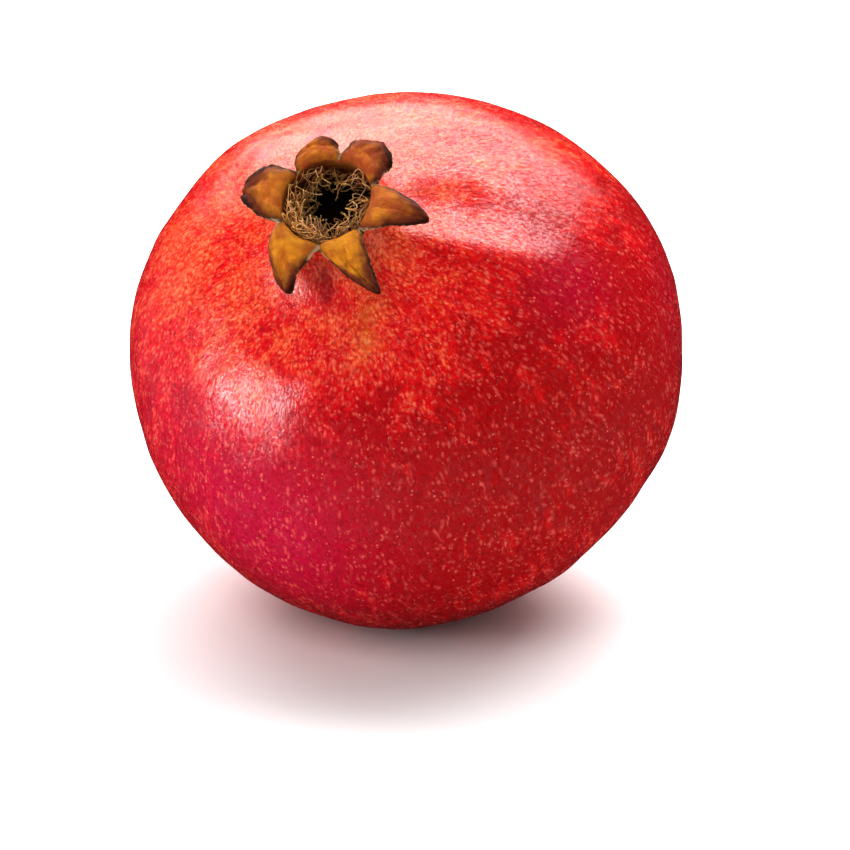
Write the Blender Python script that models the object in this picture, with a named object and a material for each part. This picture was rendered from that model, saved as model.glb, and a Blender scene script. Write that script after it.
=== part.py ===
"""A whole pomegranate as picked, resting on a small flat spot with its crown leaning forward.

Row frame: +Z up, origin at the centre of the flat spot, and the crown leans towards -Y.
Each piece is first modelled upright about the fruit's own axis, with the middle of the
fruit at the origin and the crown at +Z, and is then bent, leaned and lifted into place.
"""

import math
import random

import bmesh
import bpy
from mathutils import Matrix, Vector

MM = 0.001
GAP = 0.3 * MM

# The fruit: a slightly flattened ball with soft ridges that run down from the crown
EQUATOR_RADIUS = 50.0 * MM
POLE_RADIUS = 44.2 * MM
NECK_RADIUS = 9.25 * MM
RIM_RISE = 8.6 * MM  # how far the crown's rim stands above the ball
NECK_FLARE = 2.0 * MM
NECK_CURVE = 0.68
STEM_DIMPLE_DEPTH = 3.0 * MM
STEM_DIMPLE_RADIUS = 8.0 * MM
JOINT_HEIGHT = 45.4 * MM  # where the rind ends and the calyx begins, up the fruit's axis
NECK_RIB = 0.35 * MM

# Ridges and hollows: (azimuth and half width in degrees, rise as a share of the radius)
RIDGES = (
    (-2, 17, 0.027),
    (32, 20, 0.025),
    (95, 26, -0.006),
    (148, 22, 0.024),
    (185, 20, 0.020),
    (226, 22, -0.012),
    (281, 17, 0.023),
)
RIDGE_LEVEL = -0.012  # the share that the stretches between the ridges lie lower
RIDGE_STARTS = 10  # degrees from the crown
RIDGE_FULL = 34
RIDGE_FADES = 75
RIDGE_ENDS = 150
BELLY_SWELLING = 0.022  # the fuller underside that the fruit settles on
BELLY_DIRECTION = Vector((0.0, -0.28, -0.96)).normalized()
BELLY_WIDTH = 42  # degrees

# How it lies
LEAN = 39.0  # degrees between the fruit's axis and the vertical
NECK_BEND = 6.5  # degrees more at the crown
BEND_STARTS = 36.0 * MM
BEND_ENDS = 45.0 * MM
FLAT_DEPTH = 1.45 * MM  # how much of the underside the flat spot takes off

# The calyx crown: a short leathery tube that splits into six reflexed sepals
TUBE_BORE = 7.85 * MM
NOTCHES = (-31.0, 29.3, 91.5, 145.1, 214.4, 276.7)  # azimuths between the sepals
NOTCH_DIP = 0.9 * MM
EDGE_THICKNESS = 0.75 * MM
TIP_THICKNESS = 0.7 * MM
# Per sepal: length mm, flare at the base and at the tip in degrees, how blunt the outline
# is, margins' curl mm, sideways drift of the tip mm, twist in degrees
SEPALS = (
    (10.4, 86, 124, 0.25, -1.3, 0.1, 14),
    (6.1, 58, 128, 0.90, -0.9, -0.3, -6),
    (4.8, 50, 132, 0.72, -0.7, -1.2, 5),
    (7.9, 80, 118, 0.92, 0.9, 0.4, -8),
    (10.0, 104, 152, 0.50, -1.2, 2.6, -12),
    (11.4, 94, 130, 0.22, -1.1, 2.6, 10),
)

# The stamens: dried filaments that grow from a ring of matted bases, round an open well.
# The ring's cross-section: radius in mm, height as a share of the ring's height
PAD_SECTION = (
    (4.9, 0.0),
    (7.55, 0.0),
    (7.55, 0.8),
    (7.4, 1.0),
    (6.75, 1.05),
    (6.3, 0.95),
    (5.6, 0.85),
    (4.9, 0.5),
)
ROOT_ROWS = (3, 5)  # the stretches of the section that the two layers of filaments grow from
PAD_HEIGHT = 1.6 * MM
PAD_COLUMNS = 60
FILAMENT_STEPS = 6
FILAMENT_RADIUS = 0.23 * MM
ANTHER_SWELL = 1.5
STAMEN_SEED = 11

# The stem stub, cut by the picker's shears
STEM_RADIUS = 2.6 * MM
STEM_END_RADIUS = 2.2 * MM
STEM_LENGTH = 6.0 * MM

# Mesh density
RIND_COLUMNS = 72
RIND_CROWN_ROWS = 21
RIND_STEM_ROWS = 22
SEPAL_COLUMNS = 8
SEPAL_ROWS = 9
TUBE_ROWS = 5
STEM_COLUMNS = 12


def clear_scene():
    """Remove everything that the file opened with."""
    for obj in list(bpy.data.objects):
        bpy.data.objects.remove(obj)


def smoothstep(low, high, x):
    """Ease from 0 at low to 1 at high."""
    t = min(max((x - low) / (high - low), 0.0), 1.0)
    return t * t * (3 - 2 * t)


def mix(a, b, t):
    """Linear blend of two numbers or vectors."""
    return a + (b - a) * t


def angle_between(a, b):
    """Signed difference of two azimuths in degrees, from -180 to 180."""
    return (a - b + 180) % 360 - 180


def swelling(direction):
    """How much the fruit stands proud of the plain ball in a direction, as a share."""
    polar = math.degrees(math.acos(max(-1.0, min(1.0, direction.z))))
    azimuth = math.degrees(math.atan2(direction.y, direction.x))
    reach = smoothstep(RIDGE_STARTS, RIDGE_FULL, polar)
    reach *= 1 - smoothstep(RIDGE_FADES, RIDGE_ENDS, polar)
    ridges = sum(
        height * math.exp(-((angle_between(azimuth, middle) / width) ** 2))
        for middle, width, height in RIDGES
    )
    off_belly = math.degrees(direction.angle(BELLY_DIRECTION))
    belly = BELLY_SWELLING * math.exp(-((off_belly / BELLY_WIDTH) ** 2))
    return reach * (ridges + RIDGE_LEVEL) + belly


def crown_side(radius):
    """Height of the rind's profile above the middle, from the neck outwards."""
    ball = POLE_RADIUS * math.sqrt(max(0.0, 1 - (radius / EQUATOR_RADIUS) ** 2))
    out = max(0.0, radius - NECK_RADIUS) / NECK_FLARE
    return ball + RIM_RISE * math.exp(-(out**NECK_CURVE))


def stem_side(radius):
    """Height of the profile on the stem's side, with the dimple that the stem sits in."""
    ball = POLE_RADIUS * math.sqrt(max(0.0, 1 - (radius / EQUATOR_RADIUS) ** 2))
    return STEM_DIMPLE_DEPTH * math.exp(-((radius / STEM_DIMPLE_RADIUS) ** 2)) - ball


def radius_at(height):
    """Radius of the neck's flank at a height, by halving the interval."""
    inner, outer = NECK_RADIUS, EQUATOR_RADIUS / 2
    for _ in range(40):
        middle = (inner + outer) / 2
        if crown_side(middle) > height:
            inner = middle
        else:
            outer = middle
    return inner


def ribbed(radius, height, azimuth):
    """Radius of the neck with its six faint ribs, which line up with the sepals' joins."""
    near = min(abs(angle_between(azimuth, notch)) for notch in NOTCHES)
    strength = smoothstep(POLE_RADIUS - 3 * MM, POLE_RADIUS + 3 * MM, height)
    return radius - NECK_RIB * strength * math.exp(-((near / 9) ** 2))


def bend(point):
    """Tip the neck and crown forward out of the fruit's axis."""
    turn = math.radians(NECK_BEND) * smoothstep(BEND_STARTS, BEND_ENDS, point.z)
    pivot = Vector((0, 0, BEND_STARTS))
    return Matrix.Rotation(turn, 3, "X") @ (point - pivot) + pivot


def surface_point(radius, height, azimuth):
    """A point of the swollen rind, still upright."""
    phi = math.radians(azimuth)
    plain = Vector((radius * math.cos(phi), radius * math.sin(phi), height))
    return bend(plain * (1 + swelling(plain.normalized())))


def resting_transform():
    """Lean the upright fruit forward and stand its flat spot on the ground at the origin."""
    lean = Matrix.Rotation(math.radians(LEAN), 4, "X")
    lowest = Vector((0, 0, 1))
    for polar in range(90, 181, 2):
        for azimuth in range(0, 360, 5):
            theta = math.radians(polar)
            radius = EQUATOR_RADIUS * math.sin(theta)
            point = lean @ surface_point(radius, POLE_RADIUS * math.cos(theta), azimuth)
            if point.z < lowest.z:
                lowest = point
    return Matrix.Translation((0, -lowest.y, -lowest.z - FLAT_DEPTH)) @ lean


def new_object(name, mesh_builder, material, place):
    """Make one smooth-shaded solid from a bmesh, moved into the row frame."""
    bmesh.ops.remove_doubles(mesh_builder, verts=mesh_builder.verts, dist=1e-6)
    bmesh.ops.recalc_face_normals(mesh_builder, faces=mesh_builder.faces)
    bmesh.ops.transform(mesh_builder, matrix=place, verts=mesh_builder.verts)
    mesh = bpy.data.meshes.new(name)
    mesh_builder.to_mesh(mesh)
    mesh_builder.free()
    mesh.shade_smooth()
    mesh.set_sharp_from_angle(angle=math.radians(40))
    mesh.materials.append(material)
    obj = bpy.data.objects.new(name, mesh)
    bpy.context.scene.collection.objects.link(obj)
    return obj


def new_material(name, colour, roughness):
    """A plain non-metal finish."""
    material = bpy.data.materials.new(name)
    material.use_nodes = True
    shader = material.node_tree.nodes["Principled BSDF"]
    shader.inputs["Base Color"].default_value = (*colour, 1)
    shader.inputs["Roughness"].default_value = roughness
    shader.inputs["Metallic"].default_value = 0
    return material


def bridge(mesh_builder, ring_a, ring_b, closed=True):
    """Quads between two rows of vertices of the same length."""
    count = len(ring_a) if closed else len(ring_a) - 1
    for i in range(count):
        j = (i + 1) % len(ring_a)
        corners = [ring_a[i], ring_a[j], ring_b[j], ring_b[i]]
        distinct = list(dict.fromkeys(corners))
        if len(distinct) > 2:
            mesh_builder.faces.new(distinct)


def rind_profile():
    """(radius, height) of the rind from the neck's top to the stem's pole."""
    joint_radius = radius_at(JOINT_HEIGHT)
    start = math.asin(joint_radius / EQUATOR_RADIUS)
    points = []
    for row in range(RIND_CROWN_ROWS):
        theta = mix(start, math.pi / 2, (row / RIND_CROWN_ROWS) ** 1.35)
        radius = EQUATOR_RADIUS * math.sin(theta)
        points.append((radius, crown_side(radius)))
    for row in range(RIND_STEM_ROWS):
        theta = math.pi / 2 * (1 - row / RIND_STEM_ROWS)
        radius = EQUATOR_RADIUS * math.sin(theta)
        points.append((radius, stem_side(radius)))
    return points


def make_fruit(place, material):
    """The fruit in its rind, with the flat spot that it rests on."""
    builder = bmesh.new()
    rings = []
    for radius, height in rind_profile():
        ring = []
        for column in range(RIND_COLUMNS):
            azimuth = 360 * column / RIND_COLUMNS
            ring.append(
                builder.verts.new(
                    surface_point(ribbed(radius, height, azimuth), height, azimuth)
                )
            )
        rings.append(ring)
    for upper, lower in zip(rings, rings[1:]):
        bridge(builder, upper, lower)
    builder.faces.new(rings[0])
    pole = builder.verts.new(surface_point(0, stem_side(0), 0))
    for i in range(RIND_COLUMNS):
        builder.faces.new((rings[-1][i], rings[-1][(i + 1) % RIND_COLUMNS], pole))

    # The flat spot lies on the ground plane once the fruit is in place
    to_ground = place.inverted()
    ground = to_ground @ Vector((0, 0, 0))
    upward = (to_ground.to_3x3() @ Vector((0, 0, 1))).normalized()
    cut = bmesh.ops.bisect_plane(
        builder,
        geom=builder.verts[:] + builder.edges[:] + builder.faces[:],
        plane_co=ground,
        plane_no=upward,
        clear_inner=True,
        dist=1e-6,
    )
    rim = [edge for edge in cut["geom_cut"] if isinstance(edge, bmesh.types.BMEdge)]
    bmesh.ops.edgeloop_fill(builder, edges=rim)
    return new_object("fruit", builder, material, place)


def rim_height(azimuth):
    """Height of the crown's rim, which dips a little at each join between sepals."""
    near = min(abs(angle_between(azimuth, notch)) for notch in NOTCHES)
    return crown_side(NECK_RADIUS) - NOTCH_DIP * math.exp(-((near / 8) ** 2))


def sepal_centre(index, u, v):
    """Middle surface of a sepal: u runs across it from -1 to 1, v from the rim to the tip."""
    length, flare_base, flare_tip, blunt, curl, drift, twist = SEPALS[index]
    left = NOTCHES[index]
    half = angle_between(NOTCHES[(index + 1) % len(NOTCHES)], left) / 2
    middle = math.radians(left + half)
    half_angle = math.radians(half)
    mean_radius = (NECK_RADIUS + TUBE_BORE) / 2
    out, up = mean_radius, rim_height(left + half * (1 + u))
    steps = 24
    flare = 0.0
    for step in range(round(v * steps)):
        share = (step + 0.5) / steps
        flare = math.radians(mix(flare_base, flare_tip, share))
        flare *= 1 - math.exp(-share / 0.06)
        out += length * MM / steps * math.sin(flare)
        up += length * MM / steps * math.cos(flare)
    radial = Vector((math.cos(middle), math.sin(middle), 0))
    across = Vector((-math.sin(middle), math.cos(middle), 0))
    inward = -radial * math.cos(flare) + Vector((0, 0, math.sin(flare)))
    pointed = (1 - v) ** 0.85 * (1 + 0.35 * math.sin(math.pi * v))
    rounded = math.sqrt(max(0.0, 1 - v**2.6)) * (1 + 0.10 * math.sin(math.pi * v))
    width = mean_radius * math.sin(half_angle) * mix(pointed, rounded, blunt)
    width = max(width, 0.45 * MM)
    side = width * math.sin(u * half_angle) / math.sin(half_angle)
    sag = mean_radius * (1 - math.cos(u * half_angle)) * (1 - v) ** 3
    turn = math.radians(twist) * v
    lift = side * math.sin(turn) + curl * MM * v * (1 - 0.4 * v) * abs(u) ** 2.2
    point = radial * (out - sag) + Vector((0, 0, up))
    point += across * (side * math.cos(turn) + drift * MM * v * v)
    return point + inward * lift


def sepal_point(index, u, v, side):
    """A point of the sepal's inner face (side 1) or outer face (side -1)."""
    step = 1 / 24
    ahead = sepal_centre(index, u, min(v + step, 1)) - sepal_centre(
        index, u, max(v - step, 0)
    )
    if v == 0:
        ahead = Vector((0, 0, 1))
    across = sepal_centre(index, min(u + 0.05, 1), v) - sepal_centre(
        index, max(u - 0.05, -1), v
    )
    if v == 0:
        across.z = 0
        azimuth = sepal_azimuth(index, u)
        normal = -Vector((math.cos(azimuth), math.sin(azimuth), 0))
    else:
        normal = ahead.cross(across).normalized()
    base = NECK_RADIUS - TUBE_BORE
    body = mix(base, TIP_THICKNESS, smoothstep(0, 1, v))
    thickness = mix(body, EDGE_THICKNESS, abs(u) ** 3 * min(1, v * 4))
    return sepal_centre(index, u, v) + normal * (thickness / 2 * side)


def sepal_azimuth(index, u):
    """Azimuth of a point on the rim, in radians."""
    left = NOTCHES[index]
    half = angle_between(NOTCHES[(index + 1) % len(NOTCHES)], left) / 2
    return math.radians(left + half * (1 + u))


def sepal_rows():
    """The rows' places along a sepal, closer together at the fold by the rim."""
    return [round(24 * (row / SEPAL_ROWS) ** 1.3) / 24 for row in range(SEPAL_ROWS + 1)]


def add_sepal(builder, index, rim_outer, rim_inner):
    """Grow one sepal from its stretch of the rim."""
    last_outer, last_inner = rim_outer, rim_inner
    for v in sepal_rows()[1:]:
        outer, inner = (
            [
                builder.verts.new(bend(sepal_point(index, u, v, side)))
                for u in (2 * i / SEPAL_COLUMNS - 1 for i in range(SEPAL_COLUMNS + 1))
            ]
            for side in (-1, 1)
        )
        bridge(builder, last_outer, outer, closed=False)
        bridge(builder, last_inner, inner, closed=False)
        for end in (0, -1):
            builder.faces.new((last_outer[end], outer[end], inner[end], last_inner[end]))
        last_outer, last_inner = outer, inner
    bridge(builder, last_outer, last_inner, closed=False)


def make_crown(place, material):
    """The calyx: the tube's wall with its six sepals, in one body."""
    builder = bmesh.new()
    bottom = JOINT_HEIGHT + GAP
    wide = radius_at(bottom)
    azimuths = [
        math.degrees(sepal_azimuth(index, 2 * i / SEPAL_COLUMNS - 1))
        for index in range(len(SEPALS))
        for i in range(SEPAL_COLUMNS)
    ]

    def ring(radius, height_of):
        points = []
        for azimuth in azimuths:
            height = height_of(azimuth)
            outer = ribbed(radius, height, azimuth) if radius > TUBE_BORE else radius
            phi = math.radians(azimuth)
            points.append(
                Vector((outer * math.cos(phi), outer * math.sin(phi), height))
            )
        return [builder.verts.new(bend(point)) for point in points]

    outer_rings, inner_rings = [], []
    for row in range(TUBE_ROWS):
        share = row / TUBE_ROWS
        radius = mix(wide, NECK_RADIUS, 1 - (1 - share) ** 1.8)
        height = bottom if row == 0 else crown_side(radius)
        outer_rings.append(ring(radius, lambda azimuth, h=height: h))
        inner_height = mix(bottom, crown_side(NECK_RADIUS) - NOTCH_DIP * 1.5, share)
        inner_rings.append(ring(TUBE_BORE, lambda azimuth, h=inner_height: h))
    rims = []
    for side in (-1, 1):
        rim = []
        for index in range(len(SEPALS)):
            for i in range(SEPAL_COLUMNS):
                u = 2 * i / SEPAL_COLUMNS - 1
                rim.append(builder.verts.new(bend(sepal_point(index, u, 0, side))))
        rims.append(rim)
    outer_rings.append(rims[0])
    inner_rings.append(rims[1])
    for rings in (outer_rings, inner_rings):
        for lower, upper in zip(rings, rings[1:]):
            bridge(builder, lower, upper)
    bridge(builder, outer_rings[0], inner_rings[0])
    for index in range(len(SEPALS)):
        first = index * SEPAL_COLUMNS
        span = [(first + i) % len(azimuths) for i in range(SEPAL_COLUMNS + 1)]
        add_sepal(
            builder, index, [rims[0][i] for i in span], [rims[1][i] for i in span]
        )
    return new_object("calyx_crown", builder, material, place)


def filament_path(draw, index):
    """A dried filament's path: it leans up the tube's wall and curls over to one side.

    The filaments stand in two layers that sweep opposite ways, one by the tube's wall and
    one by the well.
    """
    start = 360 * (index + 0.5) / PAD_COLUMNS
    by_wall = index % 2 == 0
    radius_from, radius_to = (7.1, 6.7) if by_wall else (5.95, 5.0)
    sweep = draw.uniform(24, 32) if by_wall else -draw.uniform(26, 34)
    crest = draw.uniform(3.2, 5.2) if by_wall else draw.uniform(1.9, 3.6)
    droop = draw.uniform(0.3, 1.9)
    base = JOINT_HEIGHT + GAP + PAD_HEIGHT
    points = []
    for step in range(1, FILAMENT_STEPS + 1):
        t = step / FILAMENT_STEPS
        rise = math.sin(math.pi * t * 0.72) * crest - droop * t**3
        radius = mix(radius_from, radius_to, t) * MM
        phi = math.radians(start + sweep * t**1.5)
        points.append(
            Vector((radius * math.cos(phi), radius * math.sin(phi), base + rise * MM))
        )
    return points


def add_filament(builder, root, points):
    """Draw a square strand out of a root face's corners; its end is swollen, the anther."""
    middle = sum((vertex.co for vertex in root), Vector()) / len(root)
    previous, last = middle, root
    for step, point in enumerate(points):
        ahead = (points[min(step + 1, len(points) - 1)] - previous).normalized()
        outward = Vector((point.x, point.y, 0)).normalized()
        across = ahead.cross(outward).normalized()
        outward = across.cross(ahead)
        near_end = step >= len(points) - 2
        thick = FILAMENT_RADIUS * (ANTHER_SWELL if near_end else 1)
        ring = [
            builder.verts.new(point + (outward * a + across * b) * thick)
            for a, b in ((1, -1), (1, 1), (-1, 1), (-1, -1))
        ]
        bridge(builder, last, ring)
        previous, last = point, ring
    builder.faces.new(last)


def make_stamens(place, material):
    """The ring of matted filament bases, with the filaments that grow out of it."""
    draw = random.Random(STAMEN_SEED)
    builder = bmesh.new()
    bottom = JOINT_HEIGHT + GAP
    rings = []
    for radius, height in PAD_SECTION:
        ring = []
        for column in range(PAD_COLUMNS):
            phi = math.tau * column / PAD_COLUMNS
            ring.append(
                builder.verts.new(
                    (
                        radius * MM * math.cos(phi),
                        radius * MM * math.sin(phi),
                        bottom + height * PAD_HEIGHT,
                    )
                )
            )
        rings.append(ring)
    for row, (a, b) in enumerate(zip(rings, rings[1:] + rings[:1])):
        for column in range(PAD_COLUMNS):
            after = (column + 1) % PAD_COLUMNS
            corners = [a[column], a[after], b[after], b[column]]
            if row == ROOT_ROWS[column % 2]:
                add_filament(builder, corners, filament_path(draw, column))
            else:
                builder.faces.new(corners)
    for vertex in builder.verts:
        vertex.co = bend(vertex.co)
    return new_object("stamens", builder, material, place)


def make_stem(place, material):
    """The clipped stub of the stem, in its dimple at the far end from the crown."""
    builder = bmesh.new()
    top = stem_side(0) * (1 + swelling(Vector((0, 0, -1)))) - GAP
    rings = []
    profile = (
        (0.82, 0.0),
        (1.0, 0.06),
        (1.0, 0.20),
        (0.84, 0.42),
        (0.80, 0.70),
        (0.92, 0.94),
        (0.84, 1.0),
    )
    for share, down in profile:
        radius = mix(STEM_RADIUS, STEM_END_RADIUS, down) * share
        ring = []
        for column in range(STEM_COLUMNS):
            phi = math.tau * column / STEM_COLUMNS
            ring.append(
                builder.verts.new(
                    (
                        radius * math.cos(phi),
                        radius * math.sin(phi),
                        top - 0.2 * MM - STEM_LENGTH * down,
                    )
                )
            )
        rings.append(ring)
    for a, b in zip(rings, rings[1:]):
        bridge(builder, a, b)
    builder.faces.new(rings[0])
    builder.faces.new(rings[-1])
    return new_object("stem_stub", builder, material, place)


def main():
    """Build the whole fruit."""
    clear_scene()
    rind = new_material("rind", (0.62, 0.03, 0.03), 0.35)
    dried_calyx = new_material("dried_calyx", (0.32, 0.13, 0.03), 0.6)
    dried_filament = new_material("dried_filament", (0.40, 0.22, 0.08), 0.75)
    bark = new_material("bark", (0.22, 0.14, 0.07), 0.8)
    place = resting_transform()
    make_fruit(place, rind)
    make_crown(place, dried_calyx)
    make_stamens(place, dried_filament)
    make_stem(place, bark)


main()
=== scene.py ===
"""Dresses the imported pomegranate: its rind, dried crown, stamens and stem stub.

Lengths are in metres, like the frame's. The shape is worked out upright about the fruit's own
axis, with the middle of the fruit at the origin and the crown at +Z, and each finished mesh is
then leaned and lifted onto its flat spot, where the CAD solids are.
"""

import logging
import math
from dataclasses import dataclass, field
from enum import Enum
from functools import partial
from typing import Any, Callable, Iterable, Sequence

import bmesh
import bpy
from mathutils import Matrix, Vector, noise


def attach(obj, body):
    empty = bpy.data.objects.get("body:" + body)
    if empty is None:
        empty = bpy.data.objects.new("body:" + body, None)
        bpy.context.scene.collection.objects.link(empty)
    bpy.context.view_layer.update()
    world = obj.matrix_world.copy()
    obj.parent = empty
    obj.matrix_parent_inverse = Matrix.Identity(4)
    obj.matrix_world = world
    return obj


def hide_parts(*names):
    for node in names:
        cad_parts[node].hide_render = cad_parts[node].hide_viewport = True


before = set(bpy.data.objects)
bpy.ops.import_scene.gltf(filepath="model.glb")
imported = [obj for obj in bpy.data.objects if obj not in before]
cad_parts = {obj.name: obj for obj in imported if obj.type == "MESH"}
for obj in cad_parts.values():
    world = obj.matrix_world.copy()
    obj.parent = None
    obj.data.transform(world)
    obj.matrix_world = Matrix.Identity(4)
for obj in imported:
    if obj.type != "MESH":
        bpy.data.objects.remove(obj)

MM = 0.001
BODY = "root"
LOG = logging.getLogger("pomegranate")

Point = Sequence[float]


# Helpers


def linear(hex_colour: str) -> tuple[float, float, float, float]:
    """Turn an sRGB hex colour into the linear colour that a shader takes.

    Args:
        hex_colour: Six hex digits, with or without a leading #.

    Returns:
        Red, green, blue and an alpha of 1, linear.
    """
    digits = hex_colour.lstrip("#")
    channels = []
    for start in (0, 2, 4):
        value = int(digits[start : start + 2], 16) / 255
        channels.append(value / 12.92 if value <= 0.04045 else ((value + 0.055) / 1.055) ** 2.4)
    return (channels[0], channels[1], channels[2], 1.0)


def smoothstep(low: float, high: float, x: float) -> float:
    """Ease from 0 at low to 1 at high."""
    t = min(max((x - low) / (high - low), 0.0), 1.0)
    return t * t * (3 - 2 * t)


def mix(a: Any, b: Any, t: float) -> Any:
    """Blend two numbers or vectors in a straight line."""
    return a + (b - a) * t


def turn_between(a: float, b: float) -> float:
    """Give the signed difference of two azimuths in degrees, from -180 to 180."""
    return (a - b + 180) % 360 - 180


def bell(off: float, width: float) -> float:
    """Fall smoothly from 1 where off is 0 to almost nothing at twice the width."""
    return math.exp(-((off / width) ** 2))


def around(radius: float, azimuth: float, height: float = 0.0) -> Vector:
    """Give the point at a distance from the axis, an azimuth in degrees and a height."""
    phi = math.radians(azimuth)
    return Vector((radius * math.cos(phi), radius * math.sin(phi), height))


def beside(azimuth: float, other: float, polar: float) -> float:
    """Give how far one azimuth is from another at a polar angle, in degrees of arc."""
    return turn_between(azimuth, other) * math.sin(math.radians(polar))


def from_crown(direction: Vector) -> float:
    """Give the angle between a direction and the crown's, in degrees."""
    return math.degrees(math.acos(max(-1.0, min(1.0, direction.z))))


class Graph:
    """A node tree, with short ways to add the nodes that repeat in it."""

    def __init__(self, tree: bpy.types.NodeTree) -> None:
        """Take the tree that the nodes go into.

        Args:
            tree: A material's, a world's or a geometry group's tree.
        """
        self.tree = tree

    def give(self, socket: bpy.types.NodeSocket, value: Any) -> None:
        """Set an input to a value, or link an output to it.

        Args:
            socket: The input.
            value: A plain value, or the output socket of another node.
        """
        if isinstance(value, bpy.types.NodeSocket):
            self.tree.links.new(value, socket)
        else:
            socket.default_value = value

    def add(self, kind: str, inputs: dict | None = None, **settings: Any) -> Any:
        """Add a node with its settings, and set or link its inputs.

        Args:
            kind: The node's Blender type.
            inputs: Values or output sockets, by input name or index.
            **settings: Properties of the node itself.

        Returns:
            The new node.
        """
        node = self.tree.nodes.new(kind)
        for name, value in settings.items():
            setattr(node, name, value)
        for name, value in (inputs or {}).items():
            self.give(node.inputs[name], value)
        return node

    def out(self, kind: str, inputs: dict | None = None, **settings: Any) -> Any:
        """Add a node and give its first output."""
        return self.add(kind, inputs, **settings).outputs[0]

    def maths(self, operation: str, a: Any, b: Any = 0.0, c: Any = 0.0) -> Any:
        """Work out one step of arithmetic."""
        return self.out("ShaderNodeMath", {0: a, 1: b, 2: c}, operation=operation)

    def ramp(
        self,
        value: Any,
        low: Any,
        high: Any,
        to_low: float = 0.0,
        to_high: float = 1.0,
        easing: str = "SMOOTHSTEP",
    ) -> Any:
        """Take a value from one range to another, eased or in a straight line.

        Args:
            value: The number to take.
            low: Where its range starts.
            high: Where its range ends.
            to_low: What it becomes at low.
            to_high: What it becomes at high.
            easing: SMOOTHSTEP, or LINEAR for a straight line.

        Returns:
            The output with the new number.
        """
        limits = {"From Min": low, "From Max": high, "To Min": to_low, "To Max": to_high}
        return self.out(
            "ShaderNodeMapRange", {"Value": value, **limits}, interpolation_type=easing
        )


def mesh_piece(
    name: str,
    points: Iterable[Point],
    faces: Iterable[Sequence[int]],
    material: bpy.types.Material,
    place: Matrix,
) -> bpy.types.Object:
    """Make one closed, smooth-shaded piece.

    Args:
        name: The piece's name.
        points: Its vertices, upright about the fruit's axis.
        faces: Vertex numbers of each face.
        material: Its finish.
        place: The move from the upright fruit to the row frame.

    Returns:
        The new object, at the origin, with its place in its mesh.
    """
    mesh = bpy.data.meshes.new(name)
    mesh.from_pydata([tuple(point) for point in points], [], list(faces))
    mesh.transform(place)
    builder = bmesh.new()
    builder.from_mesh(mesh)
    bmesh.ops.recalc_face_normals(builder, faces=builder.faces)
    builder.to_mesh(mesh)
    builder.free()
    mesh.shade_smooth()
    mesh.materials.append(material)
    piece = bpy.data.objects.new(name, mesh)
    bpy.context.scene.collection.objects.link(piece)
    return piece


def paint(piece: bpy.types.Object, name: str, values: Sequence[Point]) -> None:
    """Store one vector per vertex for the piece's material to read.

    Args:
        piece: The mesh object.
        name: The attribute's name.
        values: A vector for each vertex, in order.
    """
    layer = piece.data.attributes.new(name, "FLOAT_VECTOR", "POINT")
    layer.data.foreach_set("vector", [part for value in values for part in value])


class Rows:
    """Rings or strips of vertices that are joined by quads."""

    def __init__(self) -> None:
        """Start with no vertices."""
        self.points: list[Point] = []
        self.tags: list[Point] = []
        self.faces: list[tuple[int, ...]] = []

    def row(self, points: Sequence[Point], tags: Sequence[Point]) -> list[int]:
        """Add a row of vertices with a tag each, and give their numbers.

        Args:
            points: The vertices, in order.
            tags: A vector for each, to paint with later.

        Returns:
            The numbers of the new vertices.
        """
        first = len(self.points)
        self.points.extend(points)
        self.tags.extend(tags)
        return list(range(first, len(self.points)))

    def bridge(self, a: Sequence[int], b: Sequence[int], closed: bool = True) -> None:
        """Join two rows of the same length by quads.

        Args:
            a: Vertex numbers of the first row.
            b: Vertex numbers of the second.
            closed: Whether the rows are rings.
        """
        count = len(a) if closed else len(a) - 1
        for i in range(count):
            j = (i + 1) % len(a)
            self.faces.append((a[i], a[j], b[j], b[i]))

    def fan(self, ring: Sequence[int], centre: Point, tag: Point) -> None:
        """Close a ring with triangles round a centre.

        Args:
            ring: Vertex numbers of the ring.
            centre: The point in its middle.
            tag: That point's tag.
        """
        middle = self.row([centre], [tag])[0]
        for i in range(len(ring)):
            self.faces.append((ring[i], ring[(i + 1) % len(ring)], middle))


# The fruit's form


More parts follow.
